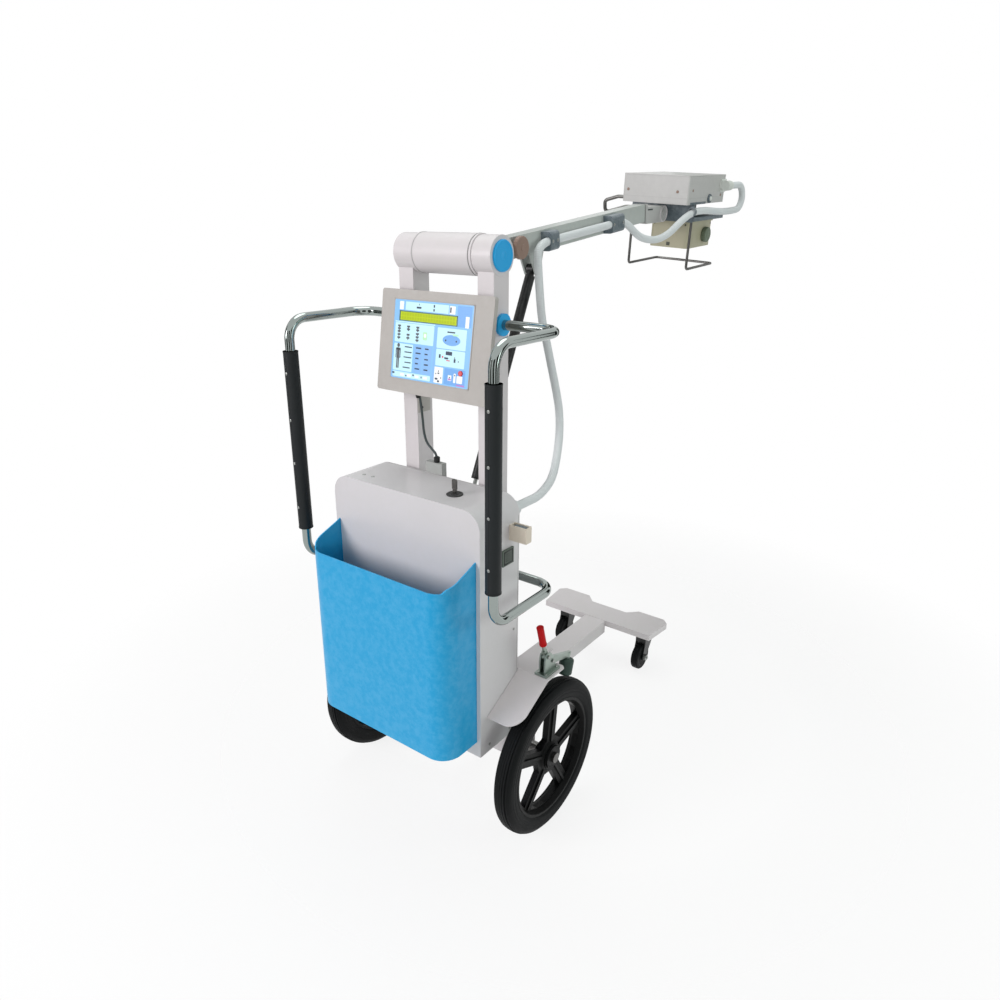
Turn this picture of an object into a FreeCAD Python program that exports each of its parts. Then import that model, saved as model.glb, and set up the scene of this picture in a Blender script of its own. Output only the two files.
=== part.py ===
import FreeCAD, Part
import math
import os
import re
import Sketcher

# Mobile x-ray machine on four wheels, in millimetres.
# X points right as seen by the operator, Y points forward along the arm, Z points up.
# The floor is Z = 0 and the middle of the footprint is X = Y = 0.
# Inside the chassis frame Y is counted from the rear axle, which lies at axle_y.

SIZES = {
    # Place of the rear axle and running clearances
    "axle_y": -494.45, "fit": 0.05, "gap": 0.3, "sheet": 3,
    # Rear wheels
    "wheel_radius": 200, "wheel_x": 288, "tyre_width": 50, "tyre_round": 17, "rim_radius": 155,
    "rim_lip": 7, "rim_width": 40, "hub_radius": 32, "hub_width": 42, "web_width": 16,
    "window_inner": 52, "window_outer": 140, "window_turn": 12, "spoke_half": 17,
    "axle_radius": 10, "collar_radius": 17, "nut_radius": 13, "nut_width": 7,
    # Axle beam and front beam
    "beam_half": 235, "beam_depth": 50, "beam_low": 162, "beam_top": 222,
    "front_half": 38.5, "front_low": 118, "front_rear": -30, "front_wall": 4,
    # Caster plate
    "plate_top": 163, "plate_edge": 20, "plate_skin": 4, "plate_half": 205, "plate_wide": 216,
    "plate_rear": 739, "plate_front": 868, "plate_step": 835, "step_inner": 68, "step_outer": 100,
    "plate_round": 20,
    # Casters
    "caster_x": 153, "caster_y": 813, "caster_trail": 25, "caster_radius": 45, "caster_width": 25,
    "stem_radius": 9, "stem_top": 152, "boss_radius": 22, "boss_low": 126, "crown_low": 96,
    "crown_radius": 25, "fork_sheet": 4, "fork_gap": 2, "fork_pin": 5, "fork_foot": 14, "caster_nut": 10,
    "caster_nut_height": 8,
    # Uprights and crossbar
    "upright_inner": 92.7, "upright_width": 42.8, "upright_depth": 53.4, "upright_y": 3, "upright_wall": 3,
    "crossbar_z": 1388, "boss_end": 137, "bar_radius": 42, "sleeve_radius": 44, "sleeve_half": 78,
    "shaft_radius": 15, "cap_radius": 33, "cap_width": 5,
    # Arm
    "arm_slope": 6.8, "arm_drop": 17.6, "arm_width": 40, "arm_height": 50, "arm_length": 872,
    "arm_wall": 3, "arm_plug": 60, "lug_gap": 26, "lug_sheet": 5, "lug_length": 60,
    "knob_y": 208, "knob_radius": 26.5, "knob_width": 13, "knob_stem": 6, "knob_stand": 10,
    # Strut between the uprights and the arm
    "pivot_y": 301, "pivot_z": -84, "foot_y": 10, "foot_z": 690, "strut_radius": 12.7,
    "strut_bore": 10.5, "strut_start": 18, "strut_end": 545, "strut_cap": 14, "piston_at": 140,
    "piston_width": 14, "piston_gap": 0.4, "rod_radius": 5, "pin_radius": 5, "eye_radius": 13,
    "eye_width": 20, "foot_clear": 17, "tie_height": 90, "tie_depth": 5, "cheek_sheet": 3, "cheek_reach": 34,
    "pin_bite": 1.5,
    "cheek_front": 44,
    # Cabinet
    "cabinet_half": 222.4, "cabinet_rear": -184.3, "cabinet_front": -40.7, "cabinet_low": 273,
    "cabinet_top": 887, "cabinet_round": 45, "cover_sheet": 3, "spacer_radius": 9, "spacer_low": 340, "spacer_high": 800,
    "module_half": 150, "module_rear": -172, "module_front": -56, "module_height": 380, "module_round": 8,
    "lock_x": 104, "lock_y": -123, "lock_radius": 9, "lock_depth": 26, "ring_radius": 14, "ring_height": 2.5,
    "key_width": 14, "key_height": 24, "key_sheet": 2.6, "key_shank": 9, "key_root": 5,
    "holder_rear": -80, "holder_front": -58, "holder_low": 794, "holder_top": 830,
    "holder_reach": 46, "holder_wall": 3, "holder_round": 4,
    "socket_rear": -108, "socket_front": -68, "socket_low": 738, "socket_top": 776, "socket_depth": 5,
    "conduit_left": -56, "conduit_right": -5, "conduit_low": 865, "conduit_top": 914, "cable_end_x": -27,
    "gland_x": 200, "gland_z": 850, "gland_radius": 17, "gland_length": 14,
    # Cassette bin behind the cabinet
    "bin_half": 212, "bin_rear": -294, "bin_low": 313, "bin_front_top": 732, "bin_side_low": 741,
    "bin_side_top": 774, "bin_slope": -271, "bin_round": 51, "bin_wall": 3,
    "bin_flange": 14, "bin_flange_top": 640,
    # Control panel, with its own upward and sideways directions
    "panel_tilt": 8.7, "panel_y": -68.35, "panel_z": 1197.55, "panel_half": 161, "panel_height": 229,
    "panel_edge": 12, "panel_round": 6, "back_half": 128, "back_low": 1110, "back_high": 1285,
    "film_left": -119, "film_right": 109, "film_top": 92.4, "film_low": -82.6, "film_sheet": 1,
    "screen_left": -101, "screen_right": 65, "screen_top": 66.4, "screen_low": 47.4, "screen_sheet": 0.8,
    "button_x": 87, "button_y": -51.6, "button_radius": 6, "button_height": 3.2, "button_depth": 6, "button_travel": 1.5,
    # Grab rails
    "rail_radius": 11, "rail_wall": 2, "rail_x": 290, "rail_y": 6, "rail_rear": -226,
    "rail_top": 1246, "rail_low": 665, "rail_bend": 46, "grip_radius": 17, "grip_low": 744, "grip_top": 1176,
    "flange_radius": 24, "flange_width": 7,
    # Fenders
    "fender_top": 442, "fender_inner": 192, "fender_outer": 309, "tail_y": -37, "tail_end_y": -160,
    "tail_end_z": 374, "tail_gap": 0.8, "tail_round": 40, "shelf_front": 40, "shelf_reach": 100, "shelf_split": 240,
    "web_half": 24,
    # Wheel brakes
    "brake_x": 285, "base_half": 17, "base_rear": -34, "base_front": 25, "base_height": 6,
    "ear_gap": 10, "ear_sheet": 4, "brake_y": 5, "brake_z": 470, "lever_y": -15, "lever_z": 489,
    "lever_tip_y": -41, "lever_tip_z": 577, "lever_radius": 8.5, "lever_sleeve": 55, "lever_rod": 4.5, "link_width": 8, "link_round": 9,
    "brake_pin": 3, "spindle_y": 88, "spindle_z": 443, "pad_lean": 15.5, "pad_radius": 18,
    "pad_height": 42, "spindle_radius": 6, "spindle_length": 16,
    # Tube head, in its own frame with the origin at the middle of its lower rear edge
    "head_ahead": 95.05017, "head_above": 29.22793, "head_pitch": 3, "head_roll": 3.6, "head_half": 110,
    "head_length": 274, "head_height": 82, "head_wall": 3, "head_round": 5, "lid_sheet": 3,
    "port_radius": 25, "beam_at": 220, "cross_y": 60, "cross_sheet": 6, "cross_half": 105, "cross_low": -53,
    "tray_top": -38, "tray_low": -50, "tray_front": 290, "column_radius": 40, "tilt_y": 24, "tilt_z": -30,
    "tongue_half": 15.5, "tongue_height": 36, "cheek_half": 24, "cheek_gap": 0.4, "swivel_rear": -92, "swivel_step": 2,
    "swivel_top": -6, "swivel_low": -54, "tilt_pin": 7, "neck_radius": 12, "neck_length": 46,
    "tube_radius": 27, "tube_half": 84, "cradle_width": 14, "cradle_half": 24,
    "collimator_half": 68, "collimator_rear": 130, "collimator_front": 310, "collimator_low": -140,
    "lamp_sheet": 11, "lamp_round": 14, "spigot_radius": 30, "spigot_height": 10, "beam_hole": 52, "pane_half": 58, "pane_sheet": 3,
    "dial_y": 249, "dial_z": -102, "dial_radius": 23, "dial_width": 16, "dial_stem": 5, "dial_hole": 12,
    "guard_half": 102, "guard_low": -193, "guard_front": 266, "guard_radius": 4, "guard_bend": 11,
    "grab_radius": 5.5, "grab_bend": 12, "grab_y": 9, "grab_z": 12, "grab_reach": 176, "grab_low": -38, "plug_y": 232, "plug_length": 38, "plug_z": 50, "plug_x": 128,
    "plug_radius": 14, "plug_base": 4, "plug_block": 19,
    # Cable hose and its clips
    "hose_radius": 10.5, "hose_x": 38, "clip_reach": 30, "clip_height": 46, "clip_gap": 0.5,
    "clip_rear": 318, "clip_rear_length": 38, "clip_front": 625, "clip_front_length": 66,
    "hose_rear": 330, "hose_front": 680, "hose_slope_drop": 2, "cable_radius": 3,
}

document = FreeCAD.newDocument("mobile_xray")
sheet = document.addObject("Spreadsheet::Sheet", "sizes")
for row, (alias, amount) in enumerate(SIZES.items(), start=1):
    sheet.set("A%d" % row, alias)
    sheet.set("B%d" % row, str(amount))
    sheet.setAlias("B%d" % row, alias)
document.recompute()

WORD = re.compile(r"[a-z_]+[a-z_0-9]*")
PLANES = {"XY": "XY_Plane", "XZ": "XZ_Plane", "YZ": "YZ_Plane"}
TURNS = {
    "X": FreeCAD.Rotation(FreeCAD.Vector(0, 1, 0), 90),
    "Y": FreeCAD.Rotation(FreeCAD.Vector(1, 0, 0), -90),
    "Z": FreeCAD.Rotation(),
}
nodes = []


def bound(text):
    """An expression over the sheet from plain size words."""
    return WORD.sub(lambda found: "sizes." + found.group() if found.group() in SIZES else found.group(), str(text))


def number(text):
    """The present value of an expression over the sheet."""
    return float(sheet.evalExpression(bound(text)))


def bind(item, name, text):
    item.setExpression(name, bound(text))


def vector(point):
    return FreeCAD.Vector(*[number(part) for part in point])


def box(x, y, z, length, width, height):
    """A block from its low corner and its three sizes."""
    item = document.addObject("Part::Box", "block")
    for name, text in zip(("Length", "Width", "Height"), (length, width, height)):
        bind(item, name, text)
    for name, text in zip("xyz", (x, y, z)):
        bind(item, "Placement.Base." + name, text)
    return item


def span(x0, x1, y0, y1, z0, z1):
    """A block between two values along each direction."""
    return box(x0, y0, z0, "(%s) - (%s)" % (x1, x0), "(%s) - (%s)" % (y1, y0), "(%s) - (%s)" % (z1, z0))


def rod(radius, length, x, y, z, axis="Z"):
    """A cylinder that starts at a point and runs along one direction."""
    item = document.addObject("Part::Cylinder", "round")
    item.Placement = FreeCAD.Placement(FreeCAD.Vector(), TURNS[axis])
    bind(item, "Radius", radius)
    bind(item, "Height", length)
    for name, text in zip("xyz", (x, y, z)):
        bind(item, "Placement.Base." + name, text)
    return item


def fuse(*items):
    item = document.addObject("Part::MultiFuse", "joined")
    item.Shapes = list(items)
    item.Refine = True
    return item


def cut(base, *tools):
    item = document.addObject("Part::Cut", "opened")
    item.Base = base
    item.Tool = tools[0] if len(tools) == 1 else fuse(*tools)
    item.Refine = True
    return item


def common(one, other):
    item = document.addObject("Part::MultiCommon", "shared")
    item.Shapes = [one, other]
    item.Refine = True
    return item


def group(*items):
    item = document.addObject("Part::Compound", "group")
    item.Links = list(items)
    return item


def mirror(source):
    """The left-hand copy of a right-hand piece."""
    item = document.addObject("Part::Mirroring", "mirrored")
    item.Source = source
    item.Base = FreeCAD.Vector(0, 0, 0)
    item.Normal = FreeCAD.Vector(1, 0, 0)
    return item


def rounded(base, radius, wanted):
    """Fillets on the edges whose middle point is wanted."""
    document.recompute()
    item = document.addObject("Part::Fillet", "softened")
    item.Base = base
    size = number(radius)
    edges = enumerate(base.Shape.Edges, start=1)
    item.Edges = [(index, size, size) for index, edge in edges if wanted(edge)]
    return item


def along(axis):
    """A test for straight edges that run along one direction."""
    place = "XYZ".index(axis)

    def test(edge):
        if edge.Curve.TypeId != "Part::GeomLine":
            return False
        return abs(edge.tangentAt(edge.FirstParameter)[place]) > 0.999
    return test


def outline(body, plane, points, height="0"):
    """A closed sketch on one of the body's own planes, each corner tied to the sheet."""
    sketch = body.newObject("Sketcher::SketchObject", "profile")
    role = PLANES[plane]
    support = [feature for feature in body.Origin.OriginFeatures if feature.Role == role][0]
    sketch.AttachmentSupport = [(support, "")]
    sketch.MapMode = "FlatFace"
    bind(sketch, "AttachmentOffset.Base.z", height)
    corners = [FreeCAD.Vector(number(a), number(b), 0) for a, b in points]
    count = len(points)
    for index in range(count):
        sketch.addGeometry(Part.LineSegment(corners[index], corners[(index + 1) % count]), False)
    for index in range(count):
        sketch.addConstraint(Sketcher.Constraint("Coincident", index, 2, (index + 1) % count, 1))
    for index, (a, b) in enumerate(points):
        for kind, text, start in (("DistanceX", a, corners[index].x), ("DistanceY", b, corners[index].y)):
            place = sketch.addConstraint(Sketcher.Constraint(kind, -1, 1, index, 1, start))
            bind(sketch, "Constraints[%d]" % place, text)
    return sketch


def pad(body, plane, points, length, height="0", middle=False):
    sketch = outline(body, plane, points, height)
    item = body.newObject("PartDesign::Pad", "pad")
    item.Profile = sketch
    bind(item, "Length", length)
    item.Midplane = middle
    return item


def pocket(body, plane, points, length, height="0", middle=False, back=False):
    sketch = outline(body, plane, points, height)
    item = body.newObject("PartDesign::Pocket", "pocket")
    item.Profile = sketch
    bind(item, "Length", length)
    item.Midplane = middle
    item.Reversed = back
    return item


def fillet(body, base, radius, wanted):
    """Rounds the edges of a body's feature that the test wants."""
    document.recompute()
    names = ["Edge%d" % index for index, edge in enumerate(base.Shape.Edges, start=1) if wanted(edge)]
    item = body.newObject("PartDesign::Fillet", "fillet")
    item.Base = (base, names)
    bind(item, "Radius", radius)
    return item


def new_body():
    return document.addObject("PartDesign::Body", "body")


def prism(plane, points, length, height="0", middle=False):
    body = new_body()
    pad(body, plane, points, length, height, middle)
    return body


def bent_wire(points, radius=None):
    """Straight runs joined by tangent arcs; without a radius each arc is as large as its runs allow."""
    spots = [vector(point) for point in points]
    edges = []
    radii = []
    start = spots[0]
    for before, corner, after in zip(spots, spots[1:], spots[2:]):
        toward = (corner - before).normalize()
        onward = (after - corner).normalize()
        half = toward.getAngle(onward) / 2
        reach = 0.45 * min((corner - before).Length, (after - corner).Length)
        size = reach / math.tan(half)
        if radius is not None:
            size = min(size, radius)
            reach = size * math.tan(half)
        first = corner - toward * reach
        last = corner + onward * reach
        inward = (onward - toward).normalize()
        middle = corner + inward * (size / math.cos(half) - size)
        edges.append(Part.LineSegment(start, first).toShape())
        edges.append(Part.Arc(first, middle, last).toShape())
        radii.append(size)
        start = last
    edges.append(Part.LineSegment(start, spots[-1]).toShape())
    return Part.Wire(edges), radii


def swept(wire, radius):
    """A round bar along a wire."""
    start = wire.Edges[0].valueAt(wire.Edges[0].FirstParameter)
    ahead = wire.Edges[0].tangentAt(wire.Edges[0].FirstParameter)
    ring = Part.Wire([Part.Circle(start, ahead, radius).toShape()])
    return wire.makePipeShell([ring], True, False)


def bar(points, radius, bend=None, bore=None):
    """A bent bar or tube as one piece."""
    wire, radii = bent_wire(points, None if bend is None else number(bend))
    shape = swept(wire, number(radius))
    area = math.pi * number(radius) ** 2
    if bore is not None:
        shape = shape.cut(swept(wire, number(bore)))
        area -= math.pi * number(bore) ** 2
    item = document.addObject("Part::Feature", "bar")
    item.Shape = shape
    share = shape.Volume / (area * wire.Length)
    print("bar length %.0f, radii %s, volume share %.4f" % (wire.Length, [round(size) for size in radii], share))
    return item


def tilted(y, z, angle):
    """A frame turned about X, placed in the middle plane."""
    return FreeCAD.Placement(vector(("0", y, z)), FreeCAD.Rotation(FreeCAD.Vector(1, 0, 0), number(angle)))


CHASSIS = None
SAME = FreeCAD.Placement()
ARM = tilted("axle_y + upright_y", "crossbar_z", "arm_slope")
PANEL = tilted("axle_y + panel_y", "panel_z", "90 - panel_tilt")
HEAD_MIDDLE = ARM.multVec(vector(("0", "arm_length", "-arm_drop"))) + vector(("0", "head_ahead", "head_above"))
HEAD_TURN = FreeCAD.Rotation(FreeCAD.Vector(0, 1, 0), number("head_roll"))
HEAD = FreeCAD.Placement(HEAD_MIDDLE, HEAD_TURN.multiply(FreeCAD.Rotation(FreeCAD.Vector(1, 0, 0), number("head_pitch"))))
PIVOT = ARM.multVec(vector(("0", "pivot_y", "pivot_z")))
FOOT = vector(("0", "axle_y + foot_y", "foot_z"))
STRUT_LENGTH = (FOOT - PIVOT).Length
STRUT_ANGLE = math.degrees(math.atan2(FOOT.z - PIVOT.z, FOOT.y - PIVOT.y))
STRUT = FreeCAD.Placement(PIVOT, FreeCAD.Rotation(FreeCAD.Vector(1, 0, 0), STRUT_ANGLE))


def node(label, item, frame=CHASSIS):
    """Names a finished sub-part and puts it in its place."""
    item.Label = label
    if frame is CHASSIS:
        bind(item, "Placement.Base.y", "axle_y")
    else:
        item.Placement = frame
    nodes.append(item)
    return item


# Axle beam with the rear axle through it

axle_hole = rod("axle_radius + fit", "2 * beam_half + 2", "-beam_half - 1", "0", "wheel_radius", "X")
axle_beam = span("-beam_half", "beam_half", "-beam_depth / 2", "beam_depth / 2", "beam_low", "beam_top")
node("axle_beam", cut(axle_beam, axle_hole))

hub_inner = "wheel_x - hub_width / 2 - gap"
hub_outer = "wheel_x + hub_width / 2 + gap"
axle_parts = [rod("axle_radius", "2 * (%s + nut_width)" % hub_outer, "-(%s + nut_width)" % hub_outer,
                  "0", "wheel_radius", "X")]
for start in ("beam_half", "-(%s)" % hub_inner):
    axle_parts.append(rod("collar_radius", "%s - beam_half" % hub_inner, start, "0", "wheel_radius", "X"))
for start in (hub_outer, "-(%s + nut_width)" % hub_outer):
    axle_parts.append(rod("nut_radius", "nut_width", start, "0", "wheel_radius", "X"))
node("rear_axle", fuse(*axle_parts))

# Front beam, a rectangular tube under the axle beam that reaches the caster plate

beam_tube = span("-front_half", "front_half", "front_rear", "plate_rear", "front_low", "beam_low")
beam_hollow = span("-front_half + front_wall", "front_half - front_wall", "front_rear + front_wall",
                   "plate_rear - front_wall", "front_low + front_wall", "beam_low - front_wall")
node("front_beam", cut(beam_tube, beam_hollow))

# Caster plate, a shallow channel open below

plate_points = [
    ("-plate_half", "plate_rear"), ("plate_half", "plate_rear"),
    ("plate_wide", "plate_front - plate_round"), ("plate_wide - plate_round", "plate_front"),
    ("step_outer", "plate_front"), ("step_inner", "plate_step"),
    ("-step_inner", "plate_step"), ("-step_outer", "plate_front"),
    ("-plate_wide + plate_round", "plate_front"), ("-plate_wide", "plate_front - plate_round"),
]
inner_points = [
    ("-plate_half + 2 * plate_skin", "plate_rear + plate_skin"), ("plate_half - 2 * plate_skin", "plate_rear + plate_skin"),
    ("plate_wide - 1.2 * plate_skin", "plate_front - plate_round - plate_skin"),
    ("plate_wide - plate_round - plate_skin / 2", "plate_front - plate_skin"),
    ("step_outer + plate_skin / 2", "plate_front - plate_skin"), ("step_inner + plate_skin / 2", "plate_step - plate_skin"),
    ("-step_inner - plate_skin / 2", "plate_step - plate_skin"), ("-step_outer - plate_skin / 2", "plate_front - plate_skin"),
    ("-plate_wide + plate_round + plate_skin / 2", "plate_front - plate_skin"),
    ("-plate_wide + 1.2 * plate_skin", "plate_front - plate_round - plate_skin"),
]
plate_body = new_body()
pad(plate_body, "XY", plate_points, "plate_edge", "plate_top - plate_edge")
pocket(plate_body, "XY", inner_points, "plate_edge - plate_skin", "plate_top - plate_edge", back=True)
bosses = [rod("boss_radius", "plate_top - plate_skin / 2 - boss_low", x, "caster_y", "boss_low")
          for x in ("caster_x", "-caster_x")]
boss_holes = [rod("stem_radius + fit", "stem_top + gap - boss_low + 1", x, "caster_y", "boss_low - 1")
              for x in ("caster_x", "-caster_x")]
node("caster_plate", cut(fuse(plate_body, *bosses), *boss_holes))

# Casters, each a fork that swivels on its stem and a wheel on the fork's pin

wheel_slot = "caster_width / 2 + fork_gap"
fork_half = wheel_slot + " + fork_sheet"
axle_pin_y = "caster_y - caster_trail"
fork_side = [
    (axle_pin_y + " - fork_foot", "caster_radius"), (axle_pin_y + " - fork_foot * 0.6", "caster_radius - fork_foot * 0.8"),
    (axle_pin_y + " + fork_foot * 0.6", "caster_radius - fork_foot * 0.8"), (axle_pin_y + " + fork_foot", "caster_radius"),
    ("caster_y + crown_radius", "crown_low"), ("caster_y + crown_radius", "boss_low - gap"),
    ("caster_y - crown_radius", "boss_low - gap"), ("caster_y - crown_radius", "crown_low"),
]
fork_body = new_body()
pad(fork_body, "YZ", fork_side, "2 * (%s)" % fork_half, "caster_x", True)
slot_side = [
    ("caster_y - caster_trail - 2 * caster_radius", "-1"), ("caster_y + crown_radius + 1", "-1"),
    ("caster_y + crown_radius + 1", "crown_low"), ("caster_y - caster_trail - 2 * caster_radius", "crown_low"),
]
pocket(fork_body, "YZ", slot_side, "2 * (%s)" % wheel_slot, "caster_x", True)
stem = rod("stem_radius", "stem_top - crown_low", "caster_x", "caster_y", "crown_low")
pin = rod("fork_pin", "2 * (%s) + 4" % fork_half, "caster_x - (%s) - 2" % fork_half, axle_pin_y, "caster_radius", "X")
pin_nut = rod("caster_nut", "caster_nut_height", "caster_x + " + fork_half, axle_pin_y, "caster_radius", "X")
pin_head = rod("caster_nut", "3", "caster_x - (%s) - 3" % fork_half, axle_pin_y, "caster_radius", "X")
fork_right = node("caster_fork_right", fuse(fork_body, stem, pin, pin_nut, pin_head))
node("caster_fork_left", mirror(fork_right), SAME)

wheel_disc = rod("caster_radius", "caster_width", "caster_x - caster_width / 2", axle_pin_y, "caster_radius", "X")
wheel_bore = rod("fork_pin + fit", "caster_width + 2", "caster_x - caster_width / 2 - 1", axle_pin_y, "caster_radius", "X")
soft_disc = rounded(wheel_disc, "caster_width / 5", lambda edge: edge.Curve.TypeId == "Part::GeomCircle")
caster_right = node("caster_wheel_right", cut(soft_disc, wheel_bore))
node("caster_wheel_left", mirror(caster_right), SAME)

# Rear wheels, each a tyre on a five-spoked rim

tyre_body = new_body()
tyre_sketch = outline(tyre_body, "XY", [
    ("wheel_x - rim_width / 2", "rim_radius + 0.2"), ("wheel_x + rim_width / 2", "rim_radius + 0.2"),
    ("wheel_x + tyre_width / 2", "rim_radius + tyre_width / 5"), ("wheel_x + tyre_width / 2", "wheel_radius"),
    ("wheel_x - tyre_width / 2", "wheel_radius"), ("wheel_x - tyre_width / 2", "rim_radius + tyre_width / 5"),
])
tyre_turn = tyre_body.newObject("PartDesign::Revolution", "turn")
tyre_turn.Profile = tyre_sketch
tyre_turn.ReferenceAxis = (tyre_sketch, ["H_Axis"])
tyre_turn.Angle = 360
fillet(tyre_body, tyre_turn, "tyre_round",
       lambda edge: edge.Curve.TypeId == "Part::GeomCircle" and abs(edge.Curve.Radius - number("wheel_radius")) < 0.01)
bind(tyre_body, "Placement.Base.z", "wheel_radius")
tyre_right = node("tyre_right", tyre_body)
node("tyre_left", mirror(tyre_right), SAME)

rim_body = new_body()
rim_sketch = outline(rim_body, "XY", [
    ("wheel_x - hub_width / 2", "axle_radius + fit"), ("wheel_x + hub_width / 2", "axle_radius + fit"),
    ("wheel_x + hub_width / 2", "hub_radius - 6"), ("wheel_x + web_width / 2 + 6", "hub_radius"),
    ("wheel_x + web_width / 2", "hub_radius + 8"), ("wheel_x + web_width / 2", "rim_radius - rim_lip - 6"),
    ("wheel_x + rim_width / 2", "rim_radius - rim_lip"), ("wheel_x + rim_width / 2", "rim_radius"),
    ("wheel_x - rim_width / 2", "rim_radius"), ("wheel_x - rim_width / 2", "rim_radius - rim_lip"),
    ("wheel_x - web_width / 2", "rim_radius - rim_lip - 6"), ("wheel_x - web_width / 2", "hub_radius + 8"),
    ("wheel_x - web_width / 2 - 6", "hub_radius"), ("wheel_x - hub_width / 2", "hub_radius - 6"),
])
rim_turn = rim_body.newObject("PartDesign::Revolution", "turn")
rim_turn.Profile = rim_sketch
rim_turn.ReferenceAxis = (rim_sketch, ["H_Axis"])
rim_turn.Angle = 360
# A window lies between two spokes, its sides parallel to their middle lines
spoke_turn = math.radians(number("window_turn"))


def window_corner(radius, side, share=1.0):
    """A corner of the window, on a circle and beside a spoke, as numbers in the wheel's plane."""
    size = number(radius)
    reach = math.radians(36) - math.asin(number("spoke_half") / size)
    angle = spoke_turn + math.radians(36) + side * share * reach
    return (repr(size * math.cos(angle)), repr(size * math.sin(angle)))


window_points = [
    window_corner("window_inner", -1), window_corner("window_outer", -1), window_corner("window_outer", -1, 0.5),
    window_corner("window_outer", 0), window_corner("window_outer", 1, 0.5), window_corner("window_outer", 1),
    window_corner("window_inner", 1),
]
window = pocket(rim_body, "YZ", window_points, "rim_width", "wheel_x", True)
ring = rim_body.newObject("PartDesign::PolarPattern", "spokes")
ring.Originals = [window]
ring.Axis = (window.Profile[0], ["N_Axis"])
ring.Angle = 360
ring.Occurrences = 5
rim_body.Tip = ring
bind(rim_body, "Placement.Base.z", "wheel_radius")
rim_right = node("rim_right", rim_body)
node("rim_left", mirror(rim_right), SAME)

# Fenders of bent sheet, each with a web down to the axle beam

tail_inner = "cabinet_half + tail_gap"
tail_slab = prism("YZ", [
    ("tail_y", "fender_top - sheet"), ("tail_y", "fender_top"),
    ("tail_end_y", "tail_end_z"), ("tail_end_y", "tail_end_z - sheet"),
], "fender_outer - cabinet_half - tail_gap", tail_inner)
tail_plan = span(tail_inner, "fender_outer", "tail_end_y", "tail_y", "tail_end_z - 2 * sheet", "fender_top + sheet")


def tail_corner(edge):
    """The upright edge at the outer rear corner of the fender."""
    middle = edge.CenterOfMass
    return abs(middle.y - number("tail_end_y")) < 0.01 and abs(middle.x - number("fender_outer")) < 0.01


tail_body = common(tail_slab, rounded(tail_plan, "tail_round", tail_corner))
shelf = prism("XY", [
    ("fender_inner", "tail_y"), ("fender_outer", "tail_y"), ("fender_outer", "shelf_front - 8"),
    ("fender_outer - 8", "shelf_front"), ("shelf_split", "shelf_front"), ("shelf_split", "shelf_reach - 12"),
    ("shelf_split - 12", "shelf_reach"), ("fender_inner", "shelf_reach"),
], "sheet", "fender_top - sheet")
web = span("fender_inner", "fender_inner + sheet", "-web_half", "web_half", "beam_top", "fender_top - sheet / 2")
fender_right = node("fender_right", fuse(tail_body, shelf, web))
node("fender_left", mirror(fender_right), SAME)

# Wheel brakes, toggle clamps on the fenders


def ear(start):
    return prism("YZ", [
        ("base_rear + 6", "fender_top + base_height / 2"), ("base_front - 6", "fender_top + base_height / 2"),
        ("brake_y + link_round + 2", "brake_z"), ("brake_y + link_round - 3", "brake_z + link_round"),
        ("lever_y + link_round", "lever_z + link_round"), ("lever_y - link_round", "lever_z + link_round"),
        ("base_rear + 6", "lever_z - link_round"),
    ], "ear_sheet", start)


base_plate = span("brake_x - base_half", "brake_x + base_half", "base_rear", "base_front",
                  "fender_top", "fender_top + base_height")
ears = [ear("brake_x - ear_gap / 2 - ear_sheet"), ear("brake_x + ear_gap / 2")]
pins = [rod("brake_pin", "ear_gap + 2 * ear_sheet + 4", "brake_x - ear_gap / 2 - ear_sheet - 2", y, z, "X")
        for y, z in (("brake_y", "brake_z"), ("lever_y", "lever_z"))]
base_right = fuse(base_plate, *ears, *pins)
node("brake_bases", group(base_right, mirror(base_right)))

link_x = "brake_x - link_width / 2"
spindle_frame = FreeCAD.Placement(
    vector(("brake_x", "spindle_y", "spindle_z")),
    FreeCAD.Rotation(FreeCAD.Vector(1, 0, 0), 180 - number("pad_lean")))
arm_strip = prism("YZ", [
    ("brake_y - link_round * 0.5", "brake_z - link_round * 0.85"), ("brake_y + link_round * 0.5", "brake_z + link_round * 0.85"),
    ("spindle_y + link_round", "spindle_z + 6"), ("spindle_y + link_round * 0.4", "spindle_z - 7"),
    ("brake_y + 20", "brake_z - 16"),
], "link_width", link_x)
arm_eye = rod("link_round", "link_width", link_x, "brake_y", "brake_z", "X")
arm_hole = rod("brake_pin + fit", "link_width + 2", link_x + " - 1", "brake_y", "brake_z", "X")
spindle = rod("spindle_radius", "spindle_length", "0", "0", "-7")
spindle.setExpression("Placement.Base.x", None)
spindle.setExpression("Placement.Base.y", None)
spindle.setExpression("Placement.Base.z", None)
spindle.Placement = spindle_frame.multiply(FreeCAD.Placement(FreeCAD.Vector(0, 0, -7), FreeCAD.Rotation()))
brake_arm = node("brake_arm_right", cut(fuse(arm_strip, arm_eye, spindle), arm_hole))
node("brake_arm_left", mirror(brake_arm), SAME)

pad_start = number("spindle_length") - 7
brake_pad = document.addObject("Part::Cylinder", "round")
bind(brake_pad, "Radius", "pad_radius")
bind(brake_pad, "Height", "pad_height")
soft_pad = rounded(brake_pad, "pad_height / 8", lambda edge: edge.Curve.TypeId == "Part::GeomCircle")
pad_place = spindle_frame.multiply(FreeCAD.Placement(FreeCAD.Vector(0, 0, pad_start), FreeCAD.Rotation()))
pad_place = FreeCAD.Placement(vector(("0", "axle_y", "0")), FreeCAD.Rotation()).multiply(pad_place)
pad_right = node("brake_pad_right", soft_pad, pad_place)
node("brake_pad_left", mirror(pad_right), SAME)

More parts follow.
